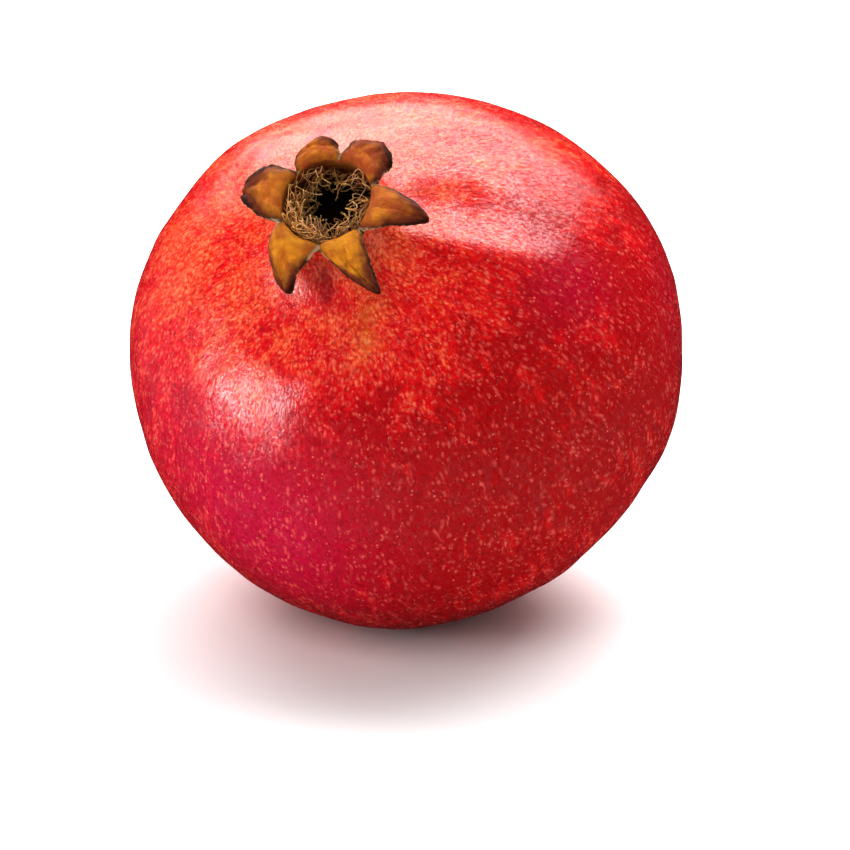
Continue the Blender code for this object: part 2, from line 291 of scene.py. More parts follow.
@dataclass(frozen=True)
class Form:
    """The fruit's shape, from the same driving sizes as its CAD solids."""

    equator_radius: float = 50.0 * MM
    pole_radius: float = 44.2 * MM
    neck_radius: float = 9.25 * MM
    rim_rise: float = 8.6 * MM
    neck_flare: float = 2.0 * MM
    neck_curve: float = 0.68
    dimple_depth: float = 3.0 * MM
    dimple_radius: float = 8.0 * MM
    neck_rib: float = 0.35 * MM
    tube_bore: float = 7.85 * MM
    # Ridges and hollows: azimuth and half width in degrees, rise as a share of the radius
    ridges: tuple[tuple[float, float, float], ...] = (
        (-2, 17, 0.027),
        (32, 20, 0.025),
        (95, 26, -0.006),
        (148, 22, 0.024),
        (185, 20, 0.020),
        (226, 22, -0.012),
        (281, 17, 0.023),
    )
    ridge_level: float = -0.012
    ridge_reach: tuple[float, float, float, float] = (10, 34, 75, 150)
    belly_swelling: float = 0.022
    belly_direction: tuple[float, float, float] = (0.0, -0.28, -0.96)
    belly_width: float = 42.0
    lean: float = 39.0
    neck_bend: float = 6.5
    bend_starts: float = 36.0 * MM
    bend_ends: float = 45.0 * MM
    flat_depth: float = 1.45 * MM
    notches: tuple[float, ...] = (-31.0, 29.3, 91.5, 145.1, 214.4, 276.7)
    notch_dip: float = 0.9 * MM
    notch_width: float = 8.0
    rib_width: float = 9.0
    rib_ease: float = 3.0 * MM

    def swelling(self, direction: Vector) -> float:
        """Say how far the fruit stands proud of the plain ball, as a share of its radius.

        Args:
            direction: Unit vector from the middle of the fruit.

        Returns:
            The share, below zero in a hollow.
        """
        polar = from_crown(direction)
        azimuth = math.degrees(math.atan2(direction.y, direction.x))
        starts, full, fades, ends = self.ridge_reach
        reach = smoothstep(starts, full, polar) * (1 - smoothstep(fades, ends, polar))
        ridges = sum(
            height * bell(turn_between(azimuth, middle), width)
            for middle, width, height in self.ridges
        )
        off_belly = math.degrees(direction.angle(Vector(self.belly_direction)))
        belly = self.belly_swelling * bell(off_belly, self.belly_width)
        return reach * (ridges + self.ridge_level) + belly

    def ball(self, radius: float) -> float:
        """Give the plain ball's height over a point at this distance from its axis."""
        return self.pole_radius * math.sqrt(max(0.0, 1 - (radius / self.equator_radius) ** 2))

    def crown_side(self, radius: float) -> float:
        """Give the height of the profile on the crown's side."""
        out = max(0.0, radius - self.neck_radius) / self.neck_flare
        return self.ball(radius) + self.rim_rise * math.exp(-(out**self.neck_curve))

    def stem_side(self, radius: float) -> float:
        """Give the height of the profile on the stem's side, with its dimple."""
        return self.dimple_depth * bell(radius, self.dimple_radius) - self.ball(radius)

    def near_notch(self, azimuth: float) -> float:
        """Give the angle to the nearest join between sepals, in degrees."""
        return min(abs(turn_between(azimuth, notch)) for notch in self.notches)

    def rim_height(self, azimuth: float) -> float:
        """Give the height of the crown's rim, which dips at each join between sepals."""
        dip = self.notch_dip * bell(self.near_notch(azimuth), self.notch_width)
        return self.crown_side(self.neck_radius) - dip

    def bend(self, point: Vector) -> Vector:
        """Tip the neck and crown forward out of the fruit's axis.

        Args:
            point: A point of the unbent fruit.

        Returns:
            The same point where the bend puts it.
        """
        turn = math.radians(self.neck_bend) * smoothstep(self.bend_starts, self.bend_ends, point.z)
        height = point.z - self.bend_starts
        deep = point.y * math.cos(turn) - height * math.sin(turn)
        high = point.y * math.sin(turn) + height * math.cos(turn) + self.bend_starts
        return Vector((point.x, deep, high))

    def skin_point(self, radius: float, height: float, azimuth: float) -> Vector:
        """Give a point of the swollen skin, upright.

        Args:
            radius: Its distance from the axis on the plain profile.
            height: Its height there.
            azimuth: Degrees round the fruit's axis.

        Returns:
            The point, with the ridges, the ribs and the bend.
        """
        ease = self.rib_ease
        rib = smoothstep(self.pole_radius - ease, self.pole_radius + ease, height)
        radius -= self.neck_rib * rib * bell(self.near_notch(azimuth), self.rib_width)
        plain = around(radius, azimuth, height)
        return self.bend(plain * (1 + self.swelling(plain.normalized())))

    def placement(self) -> Matrix:
        """Give the move that leans the upright fruit and stands its flat spot at the origin.

        Returns:
            The move to the row frame.
        """
        lean = Matrix.Rotation(math.radians(self.lean), 4, "X")
        lowest = Vector((0, 0, 1))
        for polar in range(90, 181, 2):
            theta = math.radians(polar)
            for azimuth in range(0, 360, 5):
                radius = self.equator_radius * math.sin(theta)
                height = self.pole_radius * math.cos(theta)
                point = lean @ self.skin_point(radius, height, azimuth)
                if point.z < lowest.z:
                    lowest = point
        return Matrix.Translation((0, -lowest.y, -lowest.z - self.flat_depth)) @ lean

    def crown_placement(self) -> Matrix:
        """Give the move of what stands in the crown, where the neck's bend is complete.

        Returns:
            The move to the row frame.
        """
        pivot = Matrix.Translation((0, 0, self.bend_starts))
        turn = Matrix.Rotation(math.radians(self.neck_bend), 4, "X")
        return self.placement() @ pivot @ turn @ pivot.inverted()


# Finishes


class Look(Graph):
    """A material in the making: its nodes and its shader."""

    def __init__(self, name: str) -> None:
        """Start a material with a plain shader.

        Args:
            name: The material's name.
        """
        self.material = bpy.data.materials.new(name)
        self.material.use_nodes = True
        super().__init__(self.material.node_tree)
        self.place = self.add("ShaderNodeTexCoord").outputs["Object"]

    def attribute(self, name: str, output: str = "Vector") -> Any:
        """Read an attribute of the mesh."""
        return self.add("ShaderNodeAttribute", attribute_name=name).outputs[output]

    def split(self, vector: Any) -> Any:
        """Give the three parts of a vector."""
        return self.add("ShaderNodeSeparateXYZ", {0: vector}).outputs

    def stretch(self, vector: Any, scale: Point) -> Any:
        """Scale the parts of a vector, which draws out the noise that reads it."""
        return self.out("ShaderNodeMapping", {"Vector": vector, "Scale": scale})

    def noise(
        self, size: float, detail: float, rough: float = 0.6, vector: Any = None, part: str = "Fac"
    ) -> Any:
        """Give noise whose lumps are about size across.

        Args:
            size: The size of a lump, in metres.
            detail: How many finer layers it has.
            rough: How strong the finer layers are.
            vector: What it reads, the place on the object if not given.
            part: Fac for one number, Color for three.

        Returns:
            The noise, around 0.5.
        """
        values = {"Scale": 1 / size, "Detail": detail, "Roughness": rough}
        values["Vector"] = self.place if vector is None else vector
        return self.add("ShaderNodeTexNoise", values).outputs[part]

    def cells(self, vector: Any, spacing: float) -> tuple[Any, Any, Any]:
        """Give the distance to the nearest scattered dot, and two random numbers of its own.

        Args:
            vector: What the dots are scattered over.
            spacing: About how far apart they are.

        Returns:
            The distance as a share of the spacing, and the dot's two numbers from 0 to 1.
        """
        dots = self.add(
            "ShaderNodeTexVoronoi",
            {"Vector": vector, "Scale": 1 / spacing, "Randomness": 1.0},
            feature="F1",
        )
        chance = self.add("ShaderNodeSeparateColor", {0: dots.outputs["Color"]}).outputs
        return dots.outputs["Distance"], chance[0], chance[1]

    def blend(self, amount: Any, below: Any, above: Any) -> Any:
        """Lay one colour over another, each a hex colour or an output.

        Args:
            amount: How far the upper colour covers.
            below: The lower colour.
            above: The upper colour.

        Returns:
            The blended colour.
        """
        below, above = (linear(c) if isinstance(c, str) else c for c in (below, above))
        inputs = {0: amount, 6: below, 7: above}
        return self.add("ShaderNodeMix", inputs, data_type="RGBA").outputs[2]

    def bump(self, height: Any, strength: float = 1.0, distance: float = 1.0) -> Any:
        """Turn a height into a bumped normal."""
        inputs = {"Strength": strength, "Distance": distance, "Height": height}
        return self.out("ShaderNodeBump", inputs)

    def finish(self, **inputs: Any) -> bpy.types.Material:
        """Set or link the shader's inputs, which are named with underscores for spaces.

        Args:
            **inputs: Values or output sockets.

        Returns:
            The finished material.
        """
        shader = self.tree.nodes["Principled BSDF"]
        for name, value in inputs.items():
            self.give(shader.inputs[name.replace("_", " ")], value)
        return self.material


@dataclass(frozen=True)
class RindFinish:
    """Ripe pomegranate rind: a leathery skin with a thin natural wax.

    Red with a dense mottling of orange and straw-yellow flecks that run away from the crown,
    thinning to single pale pores on the deep crimson sides. The wax gives a soft, broken gloss.
    """

    deep: str = "#AE030A"
    red: str = "#D2080F"
    warm: str = "#DE3812"
    cool_fleck: str = "#E4645A"
    warm_fleck: str = "#F27A54"
    straw: str = "#F2AE74"
    dark: str = "#8C0208"
    pore: str = "#EA7C66"
    magenta: str = "#B80E46"
    # The crease and well colours are painted shade, for the crease below the crown and the well
    # inside it
    crease: str = "#600608"
    ochre: str = "#B8781E"
    well: str = "#140503"
    roughness: float = 0.23
    ior: float = 1.45
    coat: float = 0.05
    coat_roughness: float = 0.2
    drift: float = 9.0 * MM
    drift_reach: float = 4.0 * MM
    spot_spacing: float = 0.88 * MM
    fleck: float = 0.8 * MM
    speck: float = 0.75 * MM
    streak: float = 1.8 * MM
    wax_stroke: float = 0.44 * MM
    patch: float = 8.0 * MM
    pore_spacing: float = 0.85 * MM
    sheen_patch: float = 3.2 * MM
    lump: float = 3.5 * MM
    grain: float = 0.55 * MM
    grain_relief: float = 0.06 * MM
    lump_relief: float = 0.10 * MM
    fleck_relief: float = 0.05 * MM
    streak_relief: float = 0.10 * MM
    pore_relief: float = 0.02 * MM

    def wander(self, look: Look) -> Any:
        """Give the growth coordinates, loosened so that the streaks wander.

        Args:
            look: The material in the making.

        Returns:
            The coordinates.
        """
        drift = look.noise(self.drift, 2, 0.5, part="Color")
        kind = "ShaderNodeVectorMath"
        centred = look.out(kind, {0: drift, 1: (0.5, 0.5, 0.5)}, operation="SUBTRACT")
        shift = look.out(kind, {0: centred, "Scale": self.drift_reach}, operation="SCALE")
        return look.out(kind, {0: look.attribute("growth"), 1: shift}, operation="ADD")

    def material(self) -> bpy.types.Material:
        """Build the rind's material, which reads the attributes growth and zones.

        Returns:
            The finished material.
        """
        look = Look("rind_finish")
        maths, ramp, blend = look.maths, look.ramp, look.blend
        wander = self.wander(look)
        warmer, pink_and_sheen, painted_shade = look.split(look.attribute("zones"))
        patches = look.noise(self.patch, 3, 0.55, wander)
        streaks = look.noise(self.streak, 3, vector=look.stretch(wander, (1, 1, 0.35)))
        flecks = look.noise(self.fleck, 3, vector=look.stretch(wander, (1, 1, 0.4)))
        specks = look.noise(self.speck, 2)

        # How warm the skin is: by side, by patch and by streak
        warmth = maths("MULTIPLY_ADD", patches, 1.9, -0.95)
        warmth = maths("ADD", warmth, warmer)
        warmth = maths("MULTIPLY_ADD", streaks, 1.7, maths("ADD", warmth, -0.85))

        ground = blend(ramp(warmth, 0.0, 0.5), self.deep, self.red)
        ground = blend(ramp(warmth, 0.5, 1.1), ground, self.warm)
        # Magenta, partly the skin's own tint and partly painted sheen
        pink = maths("MULTIPLY", maths("MAXIMUM", pink_and_sheen, 0.0), 0.7)
        ground = blend(pink, ground, self.magenta)

        # Flecks: soft spots where the red pigment thins and the yellow rind below shows
        pale = blend(ramp(warmth, 0.1, 1.0), self.cool_fleck, self.warm_fleck)
        away, chance, _ = look.cells(wander, self.spot_spacing)
        few = maths("MULTIPLY_ADD", warmth, -0.40, 0.36)
        spots = maths("MULTIPLY", ramp(away, 0.55, 0.15), ramp(chance, few, maths("ADD", few, 0.5)))
        low = maths("MULTIPLY_ADD", warmth, -0.10, 0.56)
        soft = ramp(flecks, low, maths("ADD", low, 0.2))
        cover = maths("MULTIPLY_ADD", spots, 0.78, maths("MULTIPLY", soft, 0.5))
        cover = maths("MULTIPLY", cover, ramp(warmth, -0.3, 0.6, 0.72, 0.84))
        skin = blend(cover, ground, pale)
        fine = ramp(specks, maths("MULTIPLY_ADD", warmth, -0.08, 0.60), 0.72)
        fine = maths("MULTIPLY", fine, ramp(warmth, 0.3, 1.1, 0.05, 0.32))
        skin = blend(fine, skin, self.straw)
        skin = blend(maths("MULTIPLY", ramp(specks, 0.52, 0.34), 0.5), skin, self.dark)

        # Pores: single pale dots
        away, size, chance = look.cells(look.place, self.pore_spacing)
        reach = maths("MULTIPLY_ADD", size, 0.30, 0.08)
        pore = ramp(away, reach, maths("MULTIPLY", reach, 0.3))
        pore = maths("MULTIPLY", pore, ramp(chance, 0.25, 0.9))
        skin = blend(maths("MULTIPLY", pore, 0.75), skin, self.pore)

        # A stain of bare ochre rind, where the magenta runs below zero
        stain = ramp(maths("MULTIPLY", pink_and_sheen, -1.0), 0.0, 1.0)
        stain = maths("MULTIPLY", stain, ramp(streaks, 0.35, 0.6, 0.35, 0.8))
        skin = blend(stain, skin, self.ochre)

        # Painted shade: the crease below the crown and the well inside it are darkened towards the
        # crease and well colours
        skin = blend(painted_shade, skin, blend(ramp(painted_shade, 0.7, 1.0), self.crease, self.well))

        uneven = ramp(look.noise(self.sheen_patch, 3), 0.3, 0.7, -0.03, 0.05)
        duller = maths("MULTIPLY_ADD", soft, 0.10, maths("ADD", uneven, self.roughness))
        # The wax is worn in fine strokes, which breaks up the gloss
        wax = look.noise(self.wax_stroke, 4, 0.65, look.stretch(wander, (1, 1, 0.40)))

        # Relief: grain about 0.5 mm wide, and shallow lumps a few millimetres wide
        height = maths("MULTIPLY", look.noise(self.grain, 3), self.grain_relief)
        for layer, relief in (
            (look.noise(self.lump, 2, 0.5), self.lump_relief),
            (flecks, self.fleck_relief),
            (streaks, self.streak_relief),
            (pore, self.pore_relief),
        ):
            height = maths("MULTIPLY_ADD", layer, relief, height)
        return look.finish(
            Base_Color=skin,
            Roughness=duller,
            IOR=self.ior,
            Specular_IOR_Level=ramp(wax, 0.38, 0.62, 0.08, 1.0),
            Coat_Weight=self.coat,
            Coat_Roughness=self.coat_roughness,
            Normal=look.bump(height),
        )


@dataclass(frozen=True)
class CalyxFinish:
    """Dried calyx: leathery sepals that have browned on the fruit.

    Golden ochre where they are thick, brown to purple-brown at the tips and margins, with a
    thin pale edge. Dry, so it has hardly any gloss.
    """

    gold: str = "#FFAC1C"
    tan: str = "#D6760F"
    brown: str = "#7C320E"
    umber: str = "#2C140A"
    reddish: str = "#C4522A"
    pale: str = "#DCC098"
    tube: str = "#4C1810"
    roughness: float = 0.55
    ior: float = 1.45
    specular: float = 0.3
    fibre: float = 0.5 * MM
    blotch: float = 2.6 * MM
    pucker: float = 0.55 * MM
    blush_patch: float = 1.9 * MM
    age_patch: float = 1.6 * MM
    crust_patch: float = 1.1 * MM
    worn_patch: float = 1.4 * MM
    fringe_patch: float = 0.8 * MM
    fibre_relief: float = 0.16 * MM
    blotch_relief: float = 0.35 * MM
    pucker_relief: float = 0.14 * MM

    def material(self) -> bpy.types.Material:
        """Build the sepals' material, which reads the attributes blade and tone.

        Returns:
            The finished material.
        """
        look = Look("calyx_finish")
        maths, ramp, blend, cloud = look.maths, look.ramp, look.blend, look.noise
        # The blade's coordinates are across and along, in metres, and from spine to margin
        blade = look.attribute("blade")
        margin = maths("ABSOLUTE", look.split(blade)[2])
        redder, share, inside = look.split(look.attribute("tone"))
        fibres = cloud(self.fibre, 3, vector=look.stretch(blade, (1, 0.14, 1)))
        blotch = cloud(self.blotch, 5)
        body = blend(ramp(blotch, 0.32, 0.66), self.tan, self.gold)
        blush = maths("MULTIPLY", redder, ramp(cloud(self.blush_patch, 3), 0.38, 0.6, 0.4, 1.0))
        body = blend(blush, body, self.reddish)

        # Age browns the tip first, then the margins
        ageing = maths("MULTIPLY_ADD", maths("POWER", margin, 1.8), 1.1, -0.70)
        ageing = maths("MULTIPLY_ADD", share, 1.45, ageing)
        ageing = maths("ADD", ageing, maths("MULTIPLY_ADD", cloud(self.age_patch, 3), 0.9, -0.45))
        body = blend(ramp(ageing, -0.05, 0.85), body, self.brown)
        body = blend(ramp(ageing, 0.80, 1.25), body, self.umber)
        body = blend(ramp(fibres, 0.50, 0.36, 0.0, 0.7), body, self.brown)

        # The margin is crusted in places, and worn pale in others
        crust = ramp(cloud(self.crust_patch, 3), 0.42, 0.56)
        crust = maths("MULTIPLY", crust, ramp(margin, 0.7, 0.93))
        body = blend(maths("MULTIPLY", crust, 0.8), body, self.umber)
        worn = maths("MULTIPLY_ADD", cloud(self.worn_patch, 2), 3.0, -0.75)
        worn = ramp(maths("MULTIPLY_ADD", share, -2.2, worn), 0.0, 0.6)
        worn = maths("MULTIPLY", worn, ramp(margin, 0.84, 0.98, 0.0, 0.8))
        fringe = ramp(cloud(self.fringe_patch, 3), 0.42, 0.6)
        fringe = maths("MULTIPLY", fringe, ramp(margin, 0.93, 0.99))
        worn = maths("MAXIMUM", worn, maths("MULTIPLY", fringe, 0.55))
        body = blend(worn, body, self.pale)
        # Painted shade: the tube's wall, darkest low down, and the sepals' inner faces near the rim
        # are darkened towards the tube colour
        body = blend(inside, body, self.tube)

        relief = maths("MULTIPLY", blotch, self.blotch_relief)
        relief = maths("MULTIPLY_ADD", fibres, self.fibre_relief, relief)
        relief = maths("MULTIPLY_ADD", cloud(self.pucker, 3), self.pucker_relief, relief)
        return look.finish(
            Base_Color=body,
            Roughness=self.roughness,
            IOR=self.ior,
            Specular_IOR_Level=self.specular,
            Normal=look.bump(relief),
        )


@dataclass(frozen=True)
class FilamentFinish:
    """Dried filament: thin brittle threads, tan at their ends; their darker roots are partly their
    own colour and partly painted shade deep in the crown's tube.
    """

    root: str = "#5A2812"
    thread: str = "#D0903E"
    tip: str = "#FAD69C"
    pink: str = "#DCA07E"
    dull: str = "#6A3A1A"
    roughness: float = 0.6

    def material(self) -> bpy.types.Material:
        """Build the filaments' material, which reads the attributes along and strand.

        Returns:
            The finished material.
        """
        look = Look("filament_finish")
        along = look.attribute("along", "Fac")
        strand = look.attribute("strand", "Fac")
        chance = look.out("ShaderNodeTexWhiteNoise", {"W": strand}, noise_dimensions="1D")
        straight = {"easing": "LINEAR"}
        # Darker towards the root: partly the threads' own colour and partly painted shade deep in
        # the tube
        colour = look.blend(look.ramp(along, 0.0, 0.5, **straight), self.root, self.thread)
        lighter = look.maths("MULTIPLY", look.ramp(along, 0.45, 1.0, **straight), chance)
        colour = look.blend(lighter, colour, self.tip)
        colour = look.blend(look.ramp(chance, 0.82, 0.88, **straight), colour, self.pink)
        duller = look.ramp(chance, 0.5, 0.1, 0.0, 0.9, **straight)
        colour = look.blend(duller, colour, self.dull)
        return look.finish(Base_Color=colour, Roughness=self.roughness)


@dataclass(frozen=True)
class AntherFinish:
    """Dried anther: a shrivelled pollen sac, dull olive-brown."""

    dark: str = "#5A4018"
    light: str = "#A8883E"
    roughness: float = 0.75
    grain: float = 0.6 * MM

    def material(self) -> bpy.types.Material:
        """Build the anthers' material.

        Returns:
            The finished material.
        """
        look = Look("anther_finish")
        colour = look.blend(look.noise(self.grain, 2, 0.5), self.dark, self.light)
        return look.finish(Base_Color=colour, Roughness=self.roughness)


@dataclass(frozen=True)
class BarkFinish:
    """Young pomegranate bark, dry and finely cracked, with a paler fibrous cut end."""

    bark: str = "#5E4630"
    crack: str = "#2C1E14"
    cut: str = "#B59B6E"
    roughness: float = 0.8
    grain: float = 0.7 * MM
    relief: float = 0.2 * MM

    def material(self) -> bpy.types.Material:
        """Build the stub's material, which reads the attribute cut.

        Returns:
            The finished material.
        """
        look = Look("bark_finish")
        grain = look.noise(self.grain, 4, 0.65)
        colour = look.blend(grain, self.crack, self.bark)
        colour = look.blend(look.split(look.attribute("cut"))[0], colour, self.cut)
        return look.finish(
            Base_Color=colour,
            Roughness=self.roughness,
            Normal=look.bump(grain, 0.6, self.relief),
        )


# The pieces


@dataclass
class Rind:
    """The fruit's skin, from the dimple at the stem up the neck and down into the crown's well."""

    form: Form
    finish: RindFinish = field(default_factory=RindFinish)
    columns: int = 300
    crown_rows: int = 120
    stem_rows: int = 100
    crown_crowding: float = 1.5
    rim_drop: float = 0.45 * MM
    well_floor: float = 43.4 * MM
    well_rise: float = 0.8 * MM
    lump_size: float = 11.0 * MM
    lump_height: float = 0.30 * MM
    # Where the lumps start and are full: out from the neck's wall, and from the stem's axis
    crown_lumps: tuple[float, float] = (3.0 * MM, 14.0 * MM)
    stem_lumps: tuple[float, float] = (2.0 * MM, 10.0 * MM)
    least_lumps: float = 0.25
    rim_ease: float = 6.0 * MM
    meridian_stretch: float = 1.6
    least_growth_radius: float = 6.0 * MM
    # The height over which the skin eases onto the ground round its flat spot
    ground_ease: float = 0.4 * MM
    # The collar's radius, and its way down from the rim to the well's floor as shares
    collar_radius: float = 8.7 * MM
    collar: tuple[tuple[float, float], ...] = (
        (1.0, 0.0),
        (1.0, 0.25),
        (1.0, 0.7),
        (0.96, 0.92),
        (0.8, 1.0),
        (0.45, 1.02),
        (0.2, 0.94),
    )
    # Warmth near the crown and far from it, and what the crown's foot and the stem's end add
    warmth: tuple[float, float] = (0.58, 0.22)
    foot_warmth: float = 0.25
    stem_warmth: float = 0.18
    # Magenta low on the sides, partly the skin's own tint and partly painted sheen
    low_magenta_and_sheen: float = 0.25
    # Sides of another tone: azimuth, degrees from the crown, reach, warmth and magenta, the magenta
    # partly the skin's own tint and partly painted sheen
    sides: tuple[tuple[float, float, float, float, float], ...] = (
        (172, 42, 38, 0.34, 0.0),
        (-96, 14, 5, 0.3, 0.0),
        (-61, 24.5, 2.6, 0.1, -0.5),
        (-64, 29, 2.6, 0.1, -0.5),
        (-66, 33, 2.2, 0.1, -0.35),
        # Painted shade in the crease below the crown
        (-84, 18, 5, -0.9, 0.1),
        (-62, 17, 4, 0.3, 0.0),
        # Painted shadow of a sepal on the neck
        (-40, 18.5, 3, -0.5, 0.0),
        (-34, 13.5, 4, 0.35, 0.0),
        (-165, 50, 14, 0.25, 0.0),
        (3, 52, 10, -0.1, 0.6),
        (-111, 44, 15, 0.30, 0.0),
        (-52, 14, 7, 0.25, 0.0),
        (95, 48, 34, 0.34, 0.0),
        (50, 60, 14, 0.25, 0.0),
        (-62, 30, 13, 0.34, 0.0),
        (-40, 40, 16, 0.16, 0.0),
        (-20, 38, 16, -0.06, 0.0),
        (-80, 62, 30, -0.34, 0.0),
        (-35, 62, 34, -0.34, 0.0),
        (17, 66, 22, -0.30, 0.0),
        (-98, 74, 22, -0.25, 1.0),
        (-125, 62, 22, 0.0, 0.35),
        (-150, 75, 30, 0.0, 0.3),
        (20, 85, 16, -0.10, 0.3),
    )
    # Painted shade in the crease below the crown: azimuth, degrees from the crown, reach across and
    # down, and depth of tone
    crease: tuple[float, float, float, float, float] = (-84, 16.5, 2.6, 4.5, 0.6)
    # Dents: azimuth, degrees from the crown, reach in degrees, depth in mm
    dents: tuple[tuple[float, float, float, float], ...] = (
        (-52, 30, 9, 0.25),
        (-120, 30, 12, 0.3),
        (60, 30, 12, 0.25),
    )
    # Crests: azimuth and polar angle at each end, width in degrees, height in mm
    crests: tuple[tuple[float, float, float, float, float, float], ...] = (
        (-15, 8, 9, 50, 5.0, 0.80),
        (31, 8, 22, 34, 7.0, -1.2),
        (-80, 24, -95, 62, 6.0, 0.35),
        (150, 24, 146, 70, 8.0, 0.3),
        (214, 24, 208, 70, 8.0, 0.25),
    )

    def profile(self) -> list[tuple[float, float]]:
        """Give (radius, height) from just under the crown's rim to the stem's pole.

        Returns:
            The points of the profile, in order.
        """
        form, right = self.form, math.pi / 2
        start = math.asin(form.neck_radius / form.equator_radius)
        shares = [(row / self.crown_rows) ** self.crown_crowding for row in range(self.crown_rows)]
        points = []
        for theta in (mix(start, right, share) for share in shares):
            radius = form.equator_radius * math.sin(theta)
            points.append((radius, form.crown_side(radius)))
        for row in range(self.stem_rows):
            radius = form.equator_radius * math.sin(right * (1 - row / self.stem_rows))
            points.append((radius, form.stem_side(radius)))
        return points

    def zone(self, direction: Vector) -> Point:
        """Say how the skin's colour shifts in a direction of the upright fruit.

        Args:
            direction: Unit vector from the middle of the fruit.

        Returns:
            Warmth, how much magenta shows, which is partly painted sheen, and how much painted
            shade darkens the crease below the crown.
        """
        azimuth, polar = math.degrees(math.atan2(direction.y, direction.x)), from_crown(direction)
        warmth = mix(*self.warmth, smoothstep(25, 80, polar))
        foot, stem_end = bell(polar, 22), smoothstep(120, 170, polar)
        warmth += self.foot_warmth * foot + self.stem_warmth * stem_end
        low_side = smoothstep(90, 130, polar) * (1 - smoothstep(140, 170, polar))
        magenta = self.low_magenta_and_sheen * low_side
        for middle, down, reach, warmer, pink_and_sheen in self.sides:
            across = beside(azimuth, middle, polar)
            share = math.exp(-((across**2 + (polar - down) ** 2) / reach**2))
            warmth += warmer * share
            magenta += pink_and_sheen * share
        middle, down, wide, long, tone = self.crease
        across = beside(azimuth, middle, polar)
        shade = tone * math.exp(-((across / wide) ** 2 + ((polar - down) / long) ** 2))
        return (warmth, min(magenta, 1.0), shade)

    def relief(self, azimuth: float, polar: float) -> float:
        """Give the height of the dents and crests at a place on the skin.

        Args:
            azimuth: Degrees round the fruit's axis.
            polar: Degrees from the crown.

        Returns:
            The height, in metres.
        """
        height = 0.0
        for middle, down, reach, depth in self.dents:
            across = beside(azimuth, middle, polar)
            height -= depth * math.exp(-((across**2 + (polar - down) ** 2) / reach**2))
        for start, top, end, bottom, width, rise in self.crests:
            share = (polar - top) / (bottom - top)
            off = beside(azimuth, mix(start, end, share), polar)
            reach = smoothstep(-0.15, 0.15, share) * (1 - smoothstep(0.7, 1.3, share))
            height += rise * reach * bell(off, width)
        return height * MM

    def lumps(self, point: Vector) -> float:
        """Give the skin's slight unevenness at a point."""
        return noise.noise(point / self.lump_size) + 0.4 * noise.noise(point / self.lump_size * 2.3)

    def skin(self, radius: float, height: float, azimuth: float) -> tuple[Vector, Point]:
        """Give a point of the profile as a point of the skin.

        Args:
            radius: Its distance from the axis.
            height: Its height.
            azimuth: Degrees round the fruit's axis.

        Returns:
            The point, upright, and the shift of its colour.
        """
        form = self.form
        drop = 0.0
        if height > form.pole_radius:
            rise = smoothstep(form.pole_radius, form.pole_radius + self.rim_ease, height)
            rim = form.crown_side(form.neck_radius)
            drop = (rim - form.rim_height(azimuth) + self.rim_drop) * rise
        point = form.skin_point(radius, height - drop, azimuth)
        outward = point.normalized()
        if height >= 0:
            start, full = (form.neck_radius + reach for reach in self.crown_lumps)
            strength = max(smoothstep(start, full, radius), self.least_lumps)
        else:
            strength = smoothstep(*self.stem_lumps, radius)
        lift = self.lump_height * self.lumps(point) * strength
        lift += self.relief(azimuth, from_crown(outward))
        return point + outward * lift, self.zone(outward)

    def stand(self, rows: Rows, place: Matrix) -> None:
        """Flatten the spot that the fruit stands on, so that nothing reaches below the ground.

        Args:
            rows: The skin's vertices, moved here.
            place: The move from the upright fruit to the row frame.
        """
        back, ease = place.inverted(), self.ground_ease
        for index, point in enumerate(rows.points):
            placed = place @ Vector(point)
            if placed.z < ease:
                placed.z = 0.0 if placed.z < -ease else (placed.z + ease) ** 2 / (4 * ease)
                rows.points[index] = back @ placed

    def build(self, place: Matrix) -> bpy.types.Object:
        """Build the skin and hand it to the frame.

        Args:
            place: The move from the upright fruit to the row frame.

        Returns:
            The finished piece.
        """
        form = self.form
        azimuths = [360 * i / self.columns for i in range(self.columns)]
        rows = Rows()
        growth: list[Point] = []
        rings = []
        profile = self.profile()
        arc, last = 0.0, profile[0]
        for radius, height in profile:
            arc += math.hypot(radius - last[0], height - last[1])
            last = (radius, height)
            rings.append(rows.row(*zip(*(self.skin(radius, height, a) for a in azimuths))))
            wide = math.sqrt(form.equator_radius * max(radius, self.least_growth_radius))
            growth.extend(around(wide, a, arc / self.meridian_stretch) for a in azimuths)
        for upper, lower in zip(rings, rings[1:]):
            rows.bridge(upper, lower)
        pole = form.skin_point(0, form.stem_side(0), 0)
        rows.fan(rings[-1], pole, self.zone(Vector((0, 0, -1))))
        growth.append((0, 0, arc / self.meridian_stretch))

        # The collar turns in under the sepals and down to the floor of the well
        inner = rings[0]
        for share, depth in self.collar:
            points = []
            for azimuth in azimuths:
                top = form.rim_height(azimuth) - self.rim_drop
                height = mix(top, self.well_floor, depth)
                points.append(form.bend(around(self.collar_radius * share, azimuth, height)))
            # The tags paint shade: their third part darkens the collar and the well's floor to the
            # well colour
            ring = rows.row(points, [(0.3, 0.0, 1.0 if depth > 0 else 0.6)] * self.columns)
            rows.bridge(ring, inner)
            inner = ring
        floor = form.bend(Vector((0, 0, self.well_floor + self.well_rise)))
        rows.fan(inner, floor, (0.3, 0, 1))
        growth.extend([(0.0, 0.0, 0.0)] * (len(rows.points) - len(growth)))

        self.stand(rows, place)
        piece = mesh_piece("rind_skin", rows.points, rows.faces, self.finish.material(), place)
        paint(piece, "growth", growth)
        paint(piece, "zones", rows.tags)
        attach(piece, BODY)
        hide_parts("fruit")
        return piece


class Face(Enum):
    """The two faces of a sepal, with the way that each lies from its middle surface."""

    INNER = 1
    OUTER = -1


